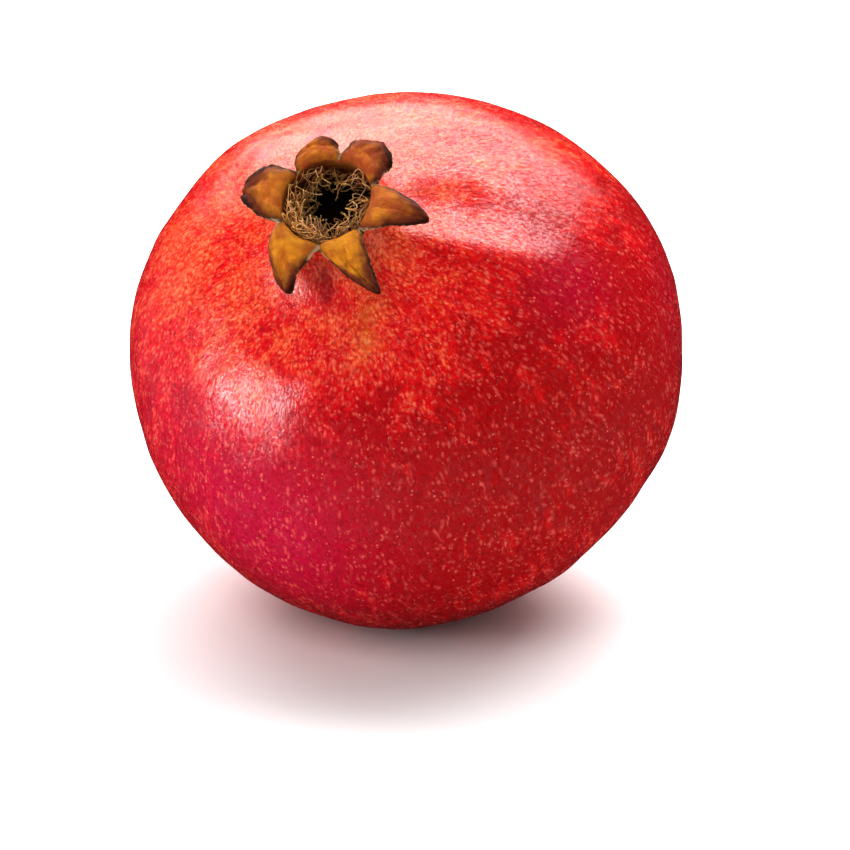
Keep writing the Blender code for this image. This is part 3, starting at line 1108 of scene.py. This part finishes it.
@dataclass(frozen=True)
class Sepal:
    """One sepal's own shape and tint; lengths in mm, angles in degrees."""

    length: float
    flare_base: float
    flare_tip: float
    blunt: tuple[float, float]
    curl: float
    drift: float
    twist: float
    widths: tuple[float, float] = (1.0, 1.0)
    ragged: float = 0.0
    wave: float = 0.25
    crease: float = 0.3
    tip_hook: float = 0.0
    reddish: float = 0.0
    age: float = 0.0


@dataclass
class Crown:
    """The dried calyx: a short tube inside the neck that splits into reflexed sepals."""

    form: Form
    finish: CalyxFinish = field(default_factory=CalyxFinish)
    across: int = 40
    along: int = 52
    tube_rows: int = 8
    rim_crowding: float = 1.25
    tube_outer: float = 8.6 * MM
    tube_bottom: float = 45.7 * MM
    rim_drop: float = 0.9 * MM
    edge_thickness: float = 0.30 * MM
    least_width: float = 0.12 * MM
    lump_height: float = 0.42 * MM
    blade_thickness: float = 0.75 * MM
    spine_steps: int = 96
    # Sets the sepals apart in the coordinates that their fibres read
    tag_step: float = 50.0 * MM
    tag_width: float = 4.5 * MM
    sepals: tuple[Sepal, ...] = (
        Sepal(
            length=10.4, flare_base=86, flare_tip=124, blunt=(0.15, 0.30), curl=-1.3, drift=0.3,
            twist=14, widths=(0.66, 0.92), wave=0.2, crease=-0.35, reddish=0.7, age=0.05,
        ),
        Sepal(
            length=6.1, flare_base=58, flare_tip=128, blunt=(0.90, 0.90), curl=-0.9, drift=-0.3,
            twist=-6, widths=(0.97, 1.0), ragged=0.10, wave=0.35, reddish=0.9, age=0.12,
        ),
        Sepal(
            length=4.5, flare_base=50, flare_tip=132, blunt=(0.72, 0.72), curl=-0.7, drift=-1.2,
            twist=5, ragged=0.30, wave=0.4, reddish=0.7,
        ),
        Sepal(
            length=7.9, flare_base=80, flare_tip=118, blunt=(0.88, 0.45), curl=0.9, drift=0.0,
            twist=-8, widths=(1.0, 0.95), ragged=0.05, wave=0.3, tip_hook=40, reddish=0.3,
            age=0.16,
        ),
        Sepal(
            length=10.0, flare_base=104, flare_tip=152, blunt=(0.38, 0.22), curl=-1.2, drift=2.4,
            twist=-12, widths=(1.0, 0.80), wave=0.3, crease=-0.25,
        ),
        Sepal(
            length=11.4, flare_base=94, flare_tip=130, blunt=(0.10, 0.25), curl=-1.1, drift=2.9,
            twist=10, widths=(0.72, 0.95), wave=0.2, crease=-0.25, age=0.05,
        ),
    )

    def spine(self, sepal: Sepal) -> list[tuple[float, float, float]]:
        """Trace a sepal's middle line as (outwards, up, slope in radians) from the rim.

        Args:
            sepal: Which sepal.

        Returns:
            The points of the line, from the rim to the tip.
        """
        steps = self.spine_steps
        out, up = 0.0, 0.0
        line = [(0.0, 0.0, 0.0)]
        for step in range(steps):
            share = (step + 0.5) / steps
            slope = mix(sepal.flare_base, sepal.flare_tip, share)
            slope += sepal.tip_hook * smoothstep(0.72, 1.0, share)
            slope = math.radians(slope * (1 - math.exp(-share / 0.06)))
            out += sepal.length * MM / steps * math.sin(slope)
            up += sepal.length * MM / steps * math.cos(slope)
            line.append((out, up, slope))
        return line

    def span(self, index: int) -> tuple[float, float]:
        """Give a sepal's middle azimuth and half its spread at the rim, in degrees.

        Args:
            index: Which sepal.

        Returns:
            The middle azimuth and half the spread.
        """
        notches = self.form.notches
        half = turn_between(notches[(index + 1) % len(notches)], notches[index]) / 2
        return notches[index] + half, half

    def half_width(self, sepal: Sepal, v: float, side: float, index: int) -> float:
        """Give half the blade's width at a share of its length, as a share of the base.

        Args:
            sepal: Which sepal.
            v: Along, from 0 at the rim to 1 at the tip.
            side: Below zero for its left half.
            index: Its number, which seeds its uneven edge.

        Returns:
            The share.
        """
        pointed = (1 - v) ** 0.85 * (1 + 0.35 * math.sin(math.pi * v))
        rounded = math.sqrt(max(0.0, 1 - v**3.2)) * (1 + 0.10 * math.sin(math.pi * v))
        uneven = 1 + 0.16 * v * noise.noise(Vector((v * 5, side * 1.7, index * 3.1)))
        uneven += 0.07 * v * noise.noise(Vector((v * 17, side * 4.1, index * 1.3)))
        which = 0 if side < 0 else 1
        narrow = mix(1.0, sepal.widths[which], smoothstep(0.0, 0.45, v))
        return mix(pointed, rounded, sepal.blunt[which]) * uneven * narrow

    def centre(self, index: int, line: list, u: float, v: float) -> Vector:
        """Give a point of a sepal's middle surface.

        Args:
            index: Which sepal.
            line: Its spine.
            u: Across, from -1 to 1.
            v: Along, from 0 at the rim to 1 at the tip.

        Returns:
            The point, upright.
        """
        form, sepal = self.form, self.sepals[index]
        middle, half = self.span(index)
        half_angle = math.radians(half)
        mean_radius = (form.neck_radius + form.tube_bore) / 2
        ragged = noise.noise(Vector((u * 2.2, index * 5.3, 0.4)))
        ragged += 0.6 * noise.noise(Vector((u * 6.1, index * 2.9, 1.7)))
        reach = v * (1 - sepal.ragged * (0.5 + ragged) * smoothstep(0.5, 1.0, v))
        place = min(max(reach, 0.0), 1.0) * self.spine_steps
        step = min(int(place), self.spine_steps - 1)
        ahead, rise, slope = (mix(a, b, place - step) for a, b in zip(line[step], line[step + 1]))
        out = mean_radius + ahead
        up = form.rim_height(middle + u * half) + rise
        radial = around(1.0, middle)
        sideways = Vector((-radial.y, radial.x, 0))
        inward = -radial * math.cos(slope) + Vector((0, 0, math.sin(slope)))
        hand = math.copysign(1, u)
        width = mean_radius * math.sin(half_angle) * self.half_width(sepal, v, hand, index)
        width = max(width, self.least_width)
        side = width * math.sin(u * half_angle) / math.sin(half_angle)
        sag = mean_radius * (1 - math.cos(u * half_angle)) * (1 - v) ** 3
        turn = math.radians(sepal.twist) * v
        lift = side * math.sin(turn) + sepal.curl * MM * v * (1 - 0.4 * v) * abs(u) ** 2.2
        lift += sepal.crease * MM * bell(u, 0.22) * smoothstep(0.05, 0.5, v)
        wave = sepal.wave * MM * math.sin(9 * v + index * 1.9 + 2 * hand)
        lift += wave * abs(u) ** 2 * smoothstep(0.1, 0.5, v)
        lump = noise.noise(Vector((u * 1.6 + index * 7, v * 3.2, 0.3)))
        lump += 0.55 * noise.noise(Vector((u * 4 + index * 7, v * 7, 4.3)))
        lump += 0.25 * noise.noise(Vector((u * 11 + index * 7, v * 12, 2.1)))
        lift += self.lump_height * lump * smoothstep(0.0, 0.25, v)
        point = radial * (out - sag) + Vector((0, 0, up))
        point += sideways * (side * math.cos(turn) + sepal.drift * MM * v * v)
        return point + inward * lift

    def blade_point(self, index: int, line: list, u: float, v: float, face: Face) -> Vector:
        """Give a point on one face of a sepal.

        Args:
            index: Which sepal.
            line: Its spine.
            u: Across, from -1 to 1.
            v: Along, from 0 at the rim to 1 at the tip.
            face: Which face.

        Returns:
            The point, upright.
        """
        middle, half = self.span(index)
        if v == 0:
            normal = -around(1.0, middle + u * half)
        else:
            centre = partial(self.centre, index, line)
            ahead = centre(u, min(v + 0.02, 1)) - centre(u, max(v - 0.02, 0))
            across = centre(min(u + 0.05, 1), v) - centre(max(u - 0.05, -1), v)
            normal = ahead.cross(across)
            normal = normal.normalized() if normal.length > 1e-12 else Vector((0, 0, 1))
        base = self.form.neck_radius - self.form.tube_bore
        body = mix(base, self.blade_thickness, smoothstep(0, 0.6, v))
        thin = max(abs(u) ** 4 * min(1, v * 5), smoothstep(0.85, 1.0, v))
        thickness = mix(body, self.edge_thickness, thin)
        return self.centre(index, line, u, v) + normal * (thickness / 2 * face.value)

    def build(self, place: Matrix) -> bpy.types.Object:
        """Build the tube and its sepals, and hand them to the frame.

        Args:
            place: The move from the upright fruit to the row frame.

        Returns:
            The finished piece.
        """
        form = self.form
        rows = Rows()
        tones: list[Point] = []
        shares = [2 * i / self.across - 1 for i in range(self.across)]
        azimuths = [
            self.span(index)[0] + u * self.span(index)[1]
            for index in range(len(self.sepals))
            for u in shares
        ]

        def tube_ring(radius: float, heights: Iterable[float], dark: float) -> list[int]:
            """Add one ring of the tube's wall.

            Args:
                radius: Its distance from the axis.
                heights: The height at each azimuth.
                dark: How much painted shade darkens it towards the tube colour.

            Returns:
                The numbers of its vertices.
            """
            points = [form.bend(around(radius, a, height)) for a, height in zip(azimuths, heights)]
            tones.extend([(0.3, 0.2, dark)] * len(points))
            tags = [(math.radians(a) * radius, p.z, 0.0) for a, p in zip(azimuths, points)]
            return rows.row(points, tags)

        rim = [form.rim_height(azimuth) for azimuth in azimuths]
        outer = [tube_ring(self.tube_outer, [self.tube_bottom] * len(azimuths), 1.0)]
        outer.append(tube_ring(self.tube_outer, [height - self.rim_drop for height in rim], 0.9))
        inner = []
        for share in (row / self.tube_rows for row in range(self.tube_rows)):
            heights = [mix(self.tube_bottom, height, share) for height in rim]
            inner.append(tube_ring(form.tube_bore, heights, 1.0 - 0.3 * share))
        lines = [self.spine(sepal) for sepal in self.sepals]
        rims = {}
        for face in Face:
            shade = 0.45 if face is Face.INNER else 0.0
            points, tags = [], []
            for index, sepal in enumerate(self.sepals):
                for u in shares:
                    points.append(form.bend(self.blade_point(index, lines[index], u, 0, face)))
                    tags.append((u * 4 * MM, index * self.tag_step, 0.0))
                    tones.append((sepal.reddish, 0.0, shade))
            rims[face] = rows.row(points, tags)
        outer.append(rims[Face.OUTER])
        inner.append(rims[Face.INNER])
        for rings in (outer, inner):
            for lower, upper in zip(rings, rings[1:]):
                rows.bridge(lower, upper)
        rows.bridge(outer[0], inner[0])
        for index in range(len(self.sepals)):
            self.grow_sepal(rows, tones, index, lines[index], rims)
        piece = mesh_piece("calyx_sepals", rows.points, rows.faces, self.finish.material(), place)
        paint(piece, "blade", rows.tags)
        paint(piece, "tone", tones)
        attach(piece, BODY)
        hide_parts("calyx_crown")
        return piece

    def grow_sepal(
        self, rows: Rows, tones: list[Point], index: int, line: list, rims: dict[Face, list[int]]
    ) -> None:
        """Grow one sepal from its stretch of the rim.

        Args:
            rows: The crown's vertices and faces so far.
            tones: A tint per vertex, added to here.
            index: Which sepal.
            line: Its spine.
            rims: The rim's vertices on each face.
        """
        sepal = self.sepals[index]
        count = len(rims[Face.INNER])
        span = [(index * self.across + i) % count for i in range(self.across + 1)]
        last = {face: [rims[face][i] for i in span] for face in Face}
        for row in range(1, self.along + 1):
            v = (row / self.along) ** self.rim_crowding
            width = self.half_width(sepal, v, 1.0, index) * self.tag_width
            far = v * sepal.length * MM + index * self.tag_step
            current = {}
            for face in Face:
                shade = 0.25 * (1 - smoothstep(0.0, 0.2, v)) if face is Face.INNER else 0.0
                points, tags = [], []
                for u in (2 * i / self.across - 1 for i in range(self.across + 1)):
                    points.append(self.form.bend(self.blade_point(index, line, u, v, face)))
                    tags.append((u * width, far, abs(u)))
                    tones.append((sepal.reddish, v + sepal.age, shade))
                current[face] = rows.row(points, tags)
                rows.bridge(last[face], current[face], closed=False)
            for end in (0, -1):
                corners = [rings[face][end] for rings in (last, current) for face in Face]
                rows.faces.append(tuple(corners[corner] for corner in (1, 3, 2, 0)))
            last = current
        rows.bridge(last[Face.OUTER], last[Face.INNER], closed=False)


@dataclass
class Stamens:
    """The dried filaments with their anthers, curling in from the wall of the crown's tube."""

    form: Form
    filament_finish: FilamentFinish = field(default_factory=FilamentFinish)
    anther_finish: AntherFinish = field(default_factory=AntherFinish)
    filaments: int = 350
    steps: int = 24
    filament_radius: float = 0.088 * MM
    anther_length: float = 0.30 * MM
    lowest_root: float = 46.4 * MM
    highest_root: float = 51.3 * MM
    root_tilt: float = -0.8 * MM
    root_drop: float = -0.7 * MM
    wall_radius: float = 7.75 * MM
    mean_radius: float = 6.0 * MM
    clear_radius: float = 2.4 * MM
    # Ranges that each filament draws from, in mm, and in radians for the turns of its curl
    inward_range: tuple[float, float] = (0.3, 4.4)
    sweep_range: tuple[float, float] = (-6.0, 6.0)
    rise_range: tuple[float, float] = (0.2, 2.9)
    curl_range: tuple[float, float] = (0.3, 1.3)
    turn_range: tuple[float, float] = (4.0, 14.0)
    # The mat is thicker on the low side of the crown, towards azimuth 235 degrees
    thick_side: float = 4.1
    seed: int = 5
    inputs: dict[str, float] = field(default_factory=dict)

    def tree(self) -> bpy.types.NodeTree:
        """Build the Geometry Nodes tree that draws every filament along its own curl.

        Returns:
            The tree, with its inputs named.
        """
        tree = bpy.data.node_groups.new("curling_filaments", "GeometryNodeTree")
        face = tree.interface
        face.new_socket("Geometry", in_out="INPUT", socket_type="NodeSocketGeometry")
        sizes = {
            "Filaments": ("NodeSocketInt", self.filaments),
            "Steps": ("NodeSocketInt", self.steps),
            "Filament Radius": ("NodeSocketFloat", self.filament_radius),
            "Anther Length": ("NodeSocketFloat", self.anther_length),
            "Lowest Root": ("NodeSocketFloat", self.lowest_root),
            "Highest Root": ("NodeSocketFloat", self.highest_root),
            "Wall Radius": ("NodeSocketFloat", self.wall_radius),
            "Seed": ("NodeSocketInt", self.seed),
        }
        self.inputs = {}
        for name, (kind, value) in sizes.items():
            socket = face.new_socket(name, in_out="INPUT", socket_type=kind)
            self.inputs[socket.identifier] = value
        face.new_socket("Geometry", in_out="OUTPUT", socket_type="NodeSocketGeometry")
        given = tree.nodes.new("NodeGroupInput").outputs
        graph = Graph(tree)
        along = graph.add("GeometryNodeSplineParameter").outputs["Factor"]
        draw = self.drawer(graph, given["Seed"])
        curled = graph.out(
            "GeometryNodeSetPosition",
            {
                "Geometry": self.strands(graph, given),
                "Position": self.position(graph, given, along, draw),
            },
        )
        joined = graph.add("GeometryNodeJoinGeometry")
        graph.give(joined.inputs[0], self.threads(graph, given, along, curled))
        graph.give(joined.inputs[0], self.anthers(graph, given, draw, curled))
        graph.give(tree.nodes.new("NodeGroupOutput").inputs[0], joined.outputs[0])
        return tree

    def drawer(self, graph: Graph, seed: Any) -> Callable[[Any, Any, int], Any]:
        """Give a function that draws one number per filament, between two limits.

        Args:
            graph: The tree.
            seed: The group's seed.

        Returns:
            The function.
        """
        strand = graph.add(
            "GeometryNodeInputNamedAttribute", {"Name": "strand"}, data_type="FLOAT"
        ).outputs["Attribute"]

        def draw(low: Any, high: Any, offset: int) -> Any:
            """Draw one number per filament.

            Args:
                low: The lower limit.
                high: The upper limit.
                offset: Keeps this draw apart from the others.

            Returns:
                The number.
            """
            node = graph.add("FunctionNodeRandomValue", data_type="FLOAT")
            number = graph.maths("ADD", seed, offset * 17)
            for name, value in {"Min": low, "Max": high, "ID": strand, "Seed": number}.items():
                kind = "INT" if name in ("ID", "Seed") else "VALUE"
                sockets = [s for s in node.inputs if s.name == name and s.type == kind]
                graph.give(sockets[0], value)
            return [s for s in node.outputs if s.type == "VALUE"][0]

        return draw

    def strands(self, graph: Graph, given: Any) -> Any:
        """Give one straight spline per filament, each with its own number.

        Args:
            graph: The tree.
            given: The group's inputs.

        Returns:
            The splines.
        """
        dots = graph.out("GeometryNodePoints", {"Count": given["Filaments"]})
        numbered = graph.out(
            "GeometryNodeStoreNamedAttribute",
            {"Geometry": dots, "Name": "strand", "Value": graph.out("GeometryNodeInputIndex")},
            data_type="FLOAT",
            domain="POINT",
        )
        line = graph.out("GeometryNodeCurvePrimitiveLine", {"End": (0, 0, 1)})
        even = graph.out("GeometryNodeResampleCurve", {"Curve": line, "Count": given["Steps"]})
        copies = graph.out("GeometryNodeInstanceOnPoints", {"Points": numbered, "Instance": even})
        return graph.out("GeometryNodeRealizeInstances", {0: copies})

    def position(self, graph: Graph, given: Any, along: Any, draw: Callable) -> Any:
        """Place each step of a filament in its curl.

        Args:
            graph: The tree.
            given: The group's inputs.
            along: The share of the way from the root to the end.
            draw: Draws one number per filament.

        Returns:
            The step's position, upright in the crown.
        """
        maths = graph.maths
        spread = draw(-1.0, 1.0, 1)
        size = maths("POWER", maths("ABSOLUTE", spread), 2.2)
        spread = maths("MULTIPLY", maths("SIGN", spread), size)
        start = maths("MULTIPLY_ADD", spread, math.pi, self.thick_side)
        root = draw(given["Lowest Root"], given["Highest Root"], 2)
        inward = maths("MULTIPLY", draw(*self.inward_range, 3), MM)
        sweep = maths("MULTIPLY", draw(*self.sweep_range, 4), MM)
        rise = maths("MULTIPLY", draw(*self.rise_range, 5), MM)
        curl = maths("MULTIPLY", draw(*self.curl_range, 6), MM)
        turns = draw(*self.turn_range, 7)
        angle = maths("MULTIPLY_ADD", turns, along, draw(0.0, math.tau, 8))
        loosened = maths("MULTIPLY", curl, along)
        side = maths("MULTIPLY", sweep, maths("POWER", along, 1.4))
        side = maths("MULTIPLY_ADD", loosened, maths("SINE", angle), side)
        inner = maths("MULTIPLY", inward, maths("POWER", along, 1.25))
        radius = maths("SUBTRACT", given["Wall Radius"], inner)
        radius = maths("MULTIPLY_ADD", loosened, maths("COSINE", angle), radius)
        radius = maths("MAXIMUM", radius, self.clear_radius)
        radius = maths("MINIMUM", radius, given["Wall Radius"])
        turn = maths("ADD", start, maths("DIVIDE", side, self.mean_radius))
        far_side = maths("MULTIPLY_ADD", maths("SINE", start), self.root_tilt, self.root_drop)
        root = maths("ADD", root, far_side)
        height = maths("MULTIPLY_ADD", rise, maths("SINE", maths("MULTIPLY", along, 2.3)), root)
        wobble = maths("SINE", maths("MULTIPLY", angle, 1.3))
        across = maths("MULTIPLY", radius, maths("COSINE", turn))
        deep = maths("MULTIPLY", radius, maths("SINE", turn))
        height = maths("MULTIPLY_ADD", loosened, wobble, height)
        return graph.out("ShaderNodeCombineXYZ", {0: across, 1: deep, 2: height})

    def threads(self, graph: Graph, given: Any, along: Any, curled: Any) -> Any:
        """Give the curled strands a tapering thickness and their finish.

        Args:
            graph: The tree.
            given: The group's inputs.
            along: The share of the way from the root.
            curled: The curled splines.

        Returns:
            The threads as a mesh.
        """
        marked = graph.out(
            "GeometryNodeStoreNamedAttribute",
            {"Geometry": curled, "Name": "along", "Value": along},
            data_type="FLOAT",
            domain="POINT",
        )
        taper = graph.maths("MULTIPLY_ADD", along, -0.4, 1.15)
        taper = graph.maths("MULTIPLY", given["Filament Radius"], taper)
        ring = graph.out("GeometryNodeCurvePrimitiveCircle", {"Resolution": 5, "Radius": 1.0})
        inputs = {"Curve": marked, "Profile Curve": ring, "Scale": taper, "Fill Caps": True}
        threads = graph.out("GeometryNodeCurveToMesh", inputs)
        inputs = {"Geometry": threads, "Material": self.filament_finish.material()}
        return graph.out("GeometryNodeSetMaterial", inputs)

    def anthers(self, graph: Graph, given: Any, draw: Callable, curled: Any) -> Any:
        """Put an anther, dried on, at the free end of each filament.

        Args:
            graph: The tree.
            given: The group's inputs.
            draw: Draws one number per filament.
            curled: The curled splines.

        Returns:
            The anthers as a mesh.
        """
        ends = graph.out("GeometryNodeCurveEndpointSelection", {"Start Size": 0, "End Size": 1})
        sac = graph.out("GeometryNodeMeshIcoSphere", {"Radius": 1.0, "Subdivisions": 1})
        long = given["Anther Length"]
        sizes = {0: graph.maths("MULTIPLY", long, 0.5), 1: graph.maths("MULTIPLY", long, 0.6)}
        scale = graph.out("ShaderNodeCombineXYZ", {**sizes, 2: long})
        turns = {axis: draw(0.0, math.pi, 9 + axis) for axis in range(3)}
        spin = graph.out("ShaderNodeCombineXYZ", turns)
        inputs = {"Points": curled, "Selection": ends, "Instance": sac}
        sacs = graph.out(
            "GeometryNodeInstanceOnPoints", {**inputs, "Scale": scale, "Rotation": spin}
        )
        sacs = graph.out("GeometryNodeRealizeInstances", {0: sacs})
        inputs = {"Geometry": sacs, "Material": self.anther_finish.material()}
        return graph.out("GeometryNodeSetMaterial", inputs)

    def build(self, place: Matrix) -> bpy.types.Object:
        """Grow the stamens and hand them to the frame.

        Args:
            place: The move of what stands in the crown to the row frame.

        Returns:
            The finished piece.
        """
        seedbed = bpy.data.objects.new("stamen_seedbed", bpy.data.meshes.new("stamen_seedbed"))
        bpy.context.scene.collection.objects.link(seedbed)
        modifier = seedbed.modifiers.new("grow", "NODES")
        modifier.node_group = self.tree()
        for identifier, value in self.inputs.items():
            modifier[identifier] = value
        graph = bpy.context.evaluated_depsgraph_get()
        mesh = bpy.data.meshes.new_from_object(seedbed.evaluated_get(graph), depsgraph=graph)
        bpy.data.objects.remove(seedbed)
        mesh.transform(place)
        mesh.shade_smooth()
        while mesh.materials and mesh.materials[0] is None:
            mesh.materials.pop(index=0)
        piece = bpy.data.objects.new("stamen_mat", mesh)
        bpy.context.scene.collection.objects.link(piece)
        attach(piece, BODY)
        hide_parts("stamens")
        return piece


@dataclass
class StemStub:
    """The clipped stub of the stem in its dimple at the far end from the crown."""

    form: Form
    finish: BarkFinish = field(default_factory=BarkFinish)
    radius: float = 2.6 * MM
    end_radius: float = 2.2 * MM
    length: float = 6.0 * MM
    gap: float = 0.5 * MM
    # The grooves' depth as a share of the radius, and how uneven the cut end is
    groove_depth: float = 0.09
    splinter: float = 0.25 * MM
    columns: int = 64
    rows: int = 40

    def waist(self, down: float) -> float:
        """Give the stub's share of its full radius at a share of its length."""
        return 0.80 + 0.30 * bell(down, 0.16) + 0.12 * bell(down - 0.92, 0.12)

    def build(self, place: Matrix) -> bpy.types.Object:
        """Build the stub and hand it to the frame.

        Args:
            place: The move from the upright fruit to the row frame.

        Returns:
            The finished piece.
        """
        form = self.form
        top = form.stem_side(0) * (1 + form.swelling(Vector((0, 0, -1)))) - self.gap
        rows = Rows()
        rings = []

        def ring(share: float, down: float, rough: float, cut: float) -> list[int]:
            """Add one ring of the stub.

            Args:
                share: Its radius as a share of the full one.
                down: How far down the stub, from 0 to 1.
                rough: How strong the grooves are.
                cut: How much it belongs to the cut end.

            Returns:
                The numbers of its vertices.
            """
            points = []
            base = mix(self.radius, self.end_radius, down) * share
            for column in range(self.columns):
                phi = math.tau * column / self.columns
                spot = Vector((math.cos(phi) * 2.2, math.sin(phi) * 2.2, down * 3))
                groove = noise.noise(spot) + 0.5 * noise.noise(spot * 2.7)
                r = base * (1 + self.groove_depth * groove * rough)
                splinter = self.splinter * noise.noise(spot * 1.5) * cut
                low = top - self.length * down - splinter
                points.append((r * math.cos(phi), r * math.sin(phi), low))
            return rows.row(points, [(cut, down, 0.0)] * self.columns)

        for row in range(self.rows + 1):
            down = row / self.rows
            rings.append(ring(self.waist(down), down, 1.0, 0.0))
        for share in (0.86, 0.6, 0.3):
            rings.append(ring(share * self.waist(1.0), 1.0 + 0.012 * (1 - share), 0.6, 1.0))
        for a, b in zip(rings, rings[1:]):
            rows.bridge(a, b)
        rows.fan(rings[-1], (0, 0, top - self.length * 1.01), (1.0, 1.0, 0.0))
        rows.fan(rings[0][::-1], (0, 0, top), (0.0, 0.0, 0.0))
        piece = mesh_piece("stem_bark", rows.points, rows.faces, self.finish.material(), place)
        paint(piece, "cut", rows.tags)
        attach(piece, BODY)
        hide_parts("stem_stub")
        return piece


# The studio


@dataclass(frozen=True)
class Softbox:
    """A rectangular light, placed in metres from the middle of the fruit."""

    name: str
    centre: tuple[float, float, float]
    faces: tuple[float, float, float]
    width: float
    height: float
    radiance: float
    shines: bool = True

    def hang(self, middle: Vector) -> None:
        """Hang the light.

        Args:
            middle: The middle of the fruit.
        """
        lamp = bpy.data.lights.new(self.name, "AREA")
        lamp.shape = "RECTANGLE"
        lamp.size = self.width
        lamp.size_y = self.height
        lamp.energy = self.radiance * math.pi * self.width * self.height
        light = bpy.data.objects.new(self.name, lamp)
        bpy.context.scene.collection.objects.link(light)
        light.visible_glossy = self.shines
        light.location = middle + Vector(self.centre)
        away = Vector(self.centre) - Vector(self.faces)
        light.rotation_euler = away.to_track_quat("Z", "Y").to_euler()


@dataclass
class Studio:
    """A white floor, soft lights and the camera at the photograph's viewing angle."""

    azimuth: float = 22.5
    elevation: float = 20.0
    distance: float = 0.68
    pixels: float = 850.0
    pixels_per_mm: float = 5.54
    middle_x: float = 404.0
    middle_y: float = 355.0
    sensor: float = 36.0
    clip_start: float = 0.05
    softboxes: tuple[Softbox, ...] = (
        Softbox("ceiling_box", (-0.475, 0.66, 0.50), (-0.475, 0.66, 0.0), 0.55, 1.28, 4.2),
        Softbox("right_ceiling_box", (0.12, 0.51, 0.50), (0.12, 0.51, 0.0), 0.62, 0.96, 4.2),
        Softbox("back_box", (-1.03, 0.88, 0.50), (-1.03, 0.88, 0.0), 0.56, 0.85, 4.8),
        Softbox("ridge_box", (0.13, 0.17, 0.49), (0.13, 0.17, 0.0), 0.28, 0.15, 6.5),
        Softbox("left_box", (-0.46, -0.385, 0.03), (0.0, 0.0, 0.0), 0.21, 0.22, 13.0),
        Softbox("left_wall", (-0.80, -0.02, -0.02), (0.0, 0.0, 0.0), 0.8, 0.5, 0.25),
        Softbox("front_fill", (-0.10, -0.64, 0.62), (0.0, 0.0, 0.0), 0.5, 0.5, 3.1, shines=False),
    )
    room_light: float = 0.50
    room_gloss: float = 0.02
    backdrop: float = 1.1
    floor_reach: float = 3.0
    paper_fade: tuple[float, float] = (0.2, 0.7)
    contrast: float = 0.86
    exposure: float = -0.03

    def build(self, middle: Vector) -> None:
        """Set up the floor, lights, world and camera.

        Args:
            middle: The middle of the fruit, in the row frame.
        """
        view = bpy.context.scene.view_settings
        view.view_transform = "Standard"
        view.gamma = self.contrast
        view.exposure = self.exposure
        self.floor()
        self.room()
        for softbox in self.softboxes:
            softbox.hang(middle)
        self.camera(middle)

    def room(self) -> None:
        """Surround the set with white that the skin's gloss hardly picks up."""
        world = bpy.data.worlds.new("white_room")
        world.use_nodes = True
        world.node_tree.nodes.clear()
        graph = Graph(world.node_tree)
        path = graph.add("ShaderNodeLightPath").outputs
        light = graph.out(
            "ShaderNodeMix",
            {0: path["Is Glossy Ray"], 2: self.room_light, 3: self.room_gloss},
            data_type="FLOAT",
        )
        shown = graph.out(
            "ShaderNodeMix",
            {0: path["Is Camera Ray"], 2: light, 3: self.backdrop},
            data_type="FLOAT",
        )
        white = graph.out(
            "ShaderNodeBackground", {"Color": linear("#FFFFFF"), "Strength": shown}
        )
        graph.add("ShaderNodeOutputWorld", {"Surface": white})
        # Sampled only by bounced rays, so that the gloss gets its own strength
        world.cycles.sampling_method = "NONE"
        bpy.context.scene.world = world

    def floor(self) -> None:
        """Lay a matt white floor, which the skin's gloss doesn't pick up."""
        look = Look("matt_white_paper")
        # Far from the fruit the paper shows as white as the room
        away = look.add("ShaderNodeVectorMath", {0: look.place}, operation="LENGTH")
        near, far = self.paper_fade
        fade = look.ramp(away.outputs["Value"], near, far, easing="LINEAR")
        seen = look.add("ShaderNodeLightPath").outputs["Is Camera Ray"]
        material = look.finish(
            Base_Color=linear("#F4F4F4"),
            Roughness=0.9,
            Emission_Color=linear("#FFFFFF"),
            Emission_Strength=look.maths("MULTIPLY", fade, seen),
        )
        mesh = bpy.data.meshes.new("floor")
        reach = self.floor_reach
        corners = [(-reach, -reach, 0), (reach, -reach, 0), (reach, reach, 0), (-reach, reach, 0)]
        mesh.from_pydata(corners, [], [(0, 1, 2, 3)])
        mesh.materials.append(material)
        floor = bpy.data.objects.new("floor", mesh)
        bpy.context.scene.collection.objects.link(floor)
        floor.visible_glossy = False

    def camera(self, middle: Vector) -> None:
        """Stand the camera where the photograph was taken from.

        Args:
            middle: The middle of the fruit.
        """
        turn, tilt = math.radians(self.azimuth), math.radians(self.elevation)
        flat = math.cos(tilt)
        away = Vector((math.sin(turn) * flat, -math.cos(turn) * flat, math.sin(tilt)))
        right = Vector((math.cos(turn), math.sin(turn), 0))
        up = away.cross(right)
        off_x = (self.pixels / 2 - self.middle_x) / self.pixels_per_mm * MM
        off_y = (self.middle_y - self.pixels / 2) / self.pixels_per_mm * MM
        aim = middle + right * off_x + up * off_y
        data = bpy.data.cameras.new("camera")
        data.sensor_width = self.sensor
        data.lens = self.distance / MM * self.pixels_per_mm * self.sensor / self.pixels
        data.clip_start = self.clip_start
        camera = bpy.data.objects.new("camera", data)
        bpy.context.scene.collection.objects.link(camera)
        camera.location = middle + away * self.distance
        camera.rotation_euler = (camera.location - aim).to_track_quat("Z", "Y").to_euler()
        bpy.context.scene.camera = camera


def main() -> None:
    """Build every piece in order and note its size."""
    logging.basicConfig(level=logging.INFO, format="%(name)s: %(message)s")
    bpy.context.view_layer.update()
    form = Form()
    place = form.placement()
    crown_place = form.crown_placement()
    pieces = (
        Rind(form).build(place),
        Crown(form).build(place),
        Stamens(form).build(crown_place),
        StemStub(form).build(place),
    )
    for piece in pieces:
        faces = sum(len(polygon.vertices) - 2 for polygon in piece.data.polygons)
        LOG.info("%s: %d triangles", piece.name, faces)
    Studio().build(place @ Vector((0, 0, 0)))


if __name__ == "__main__":
    main()
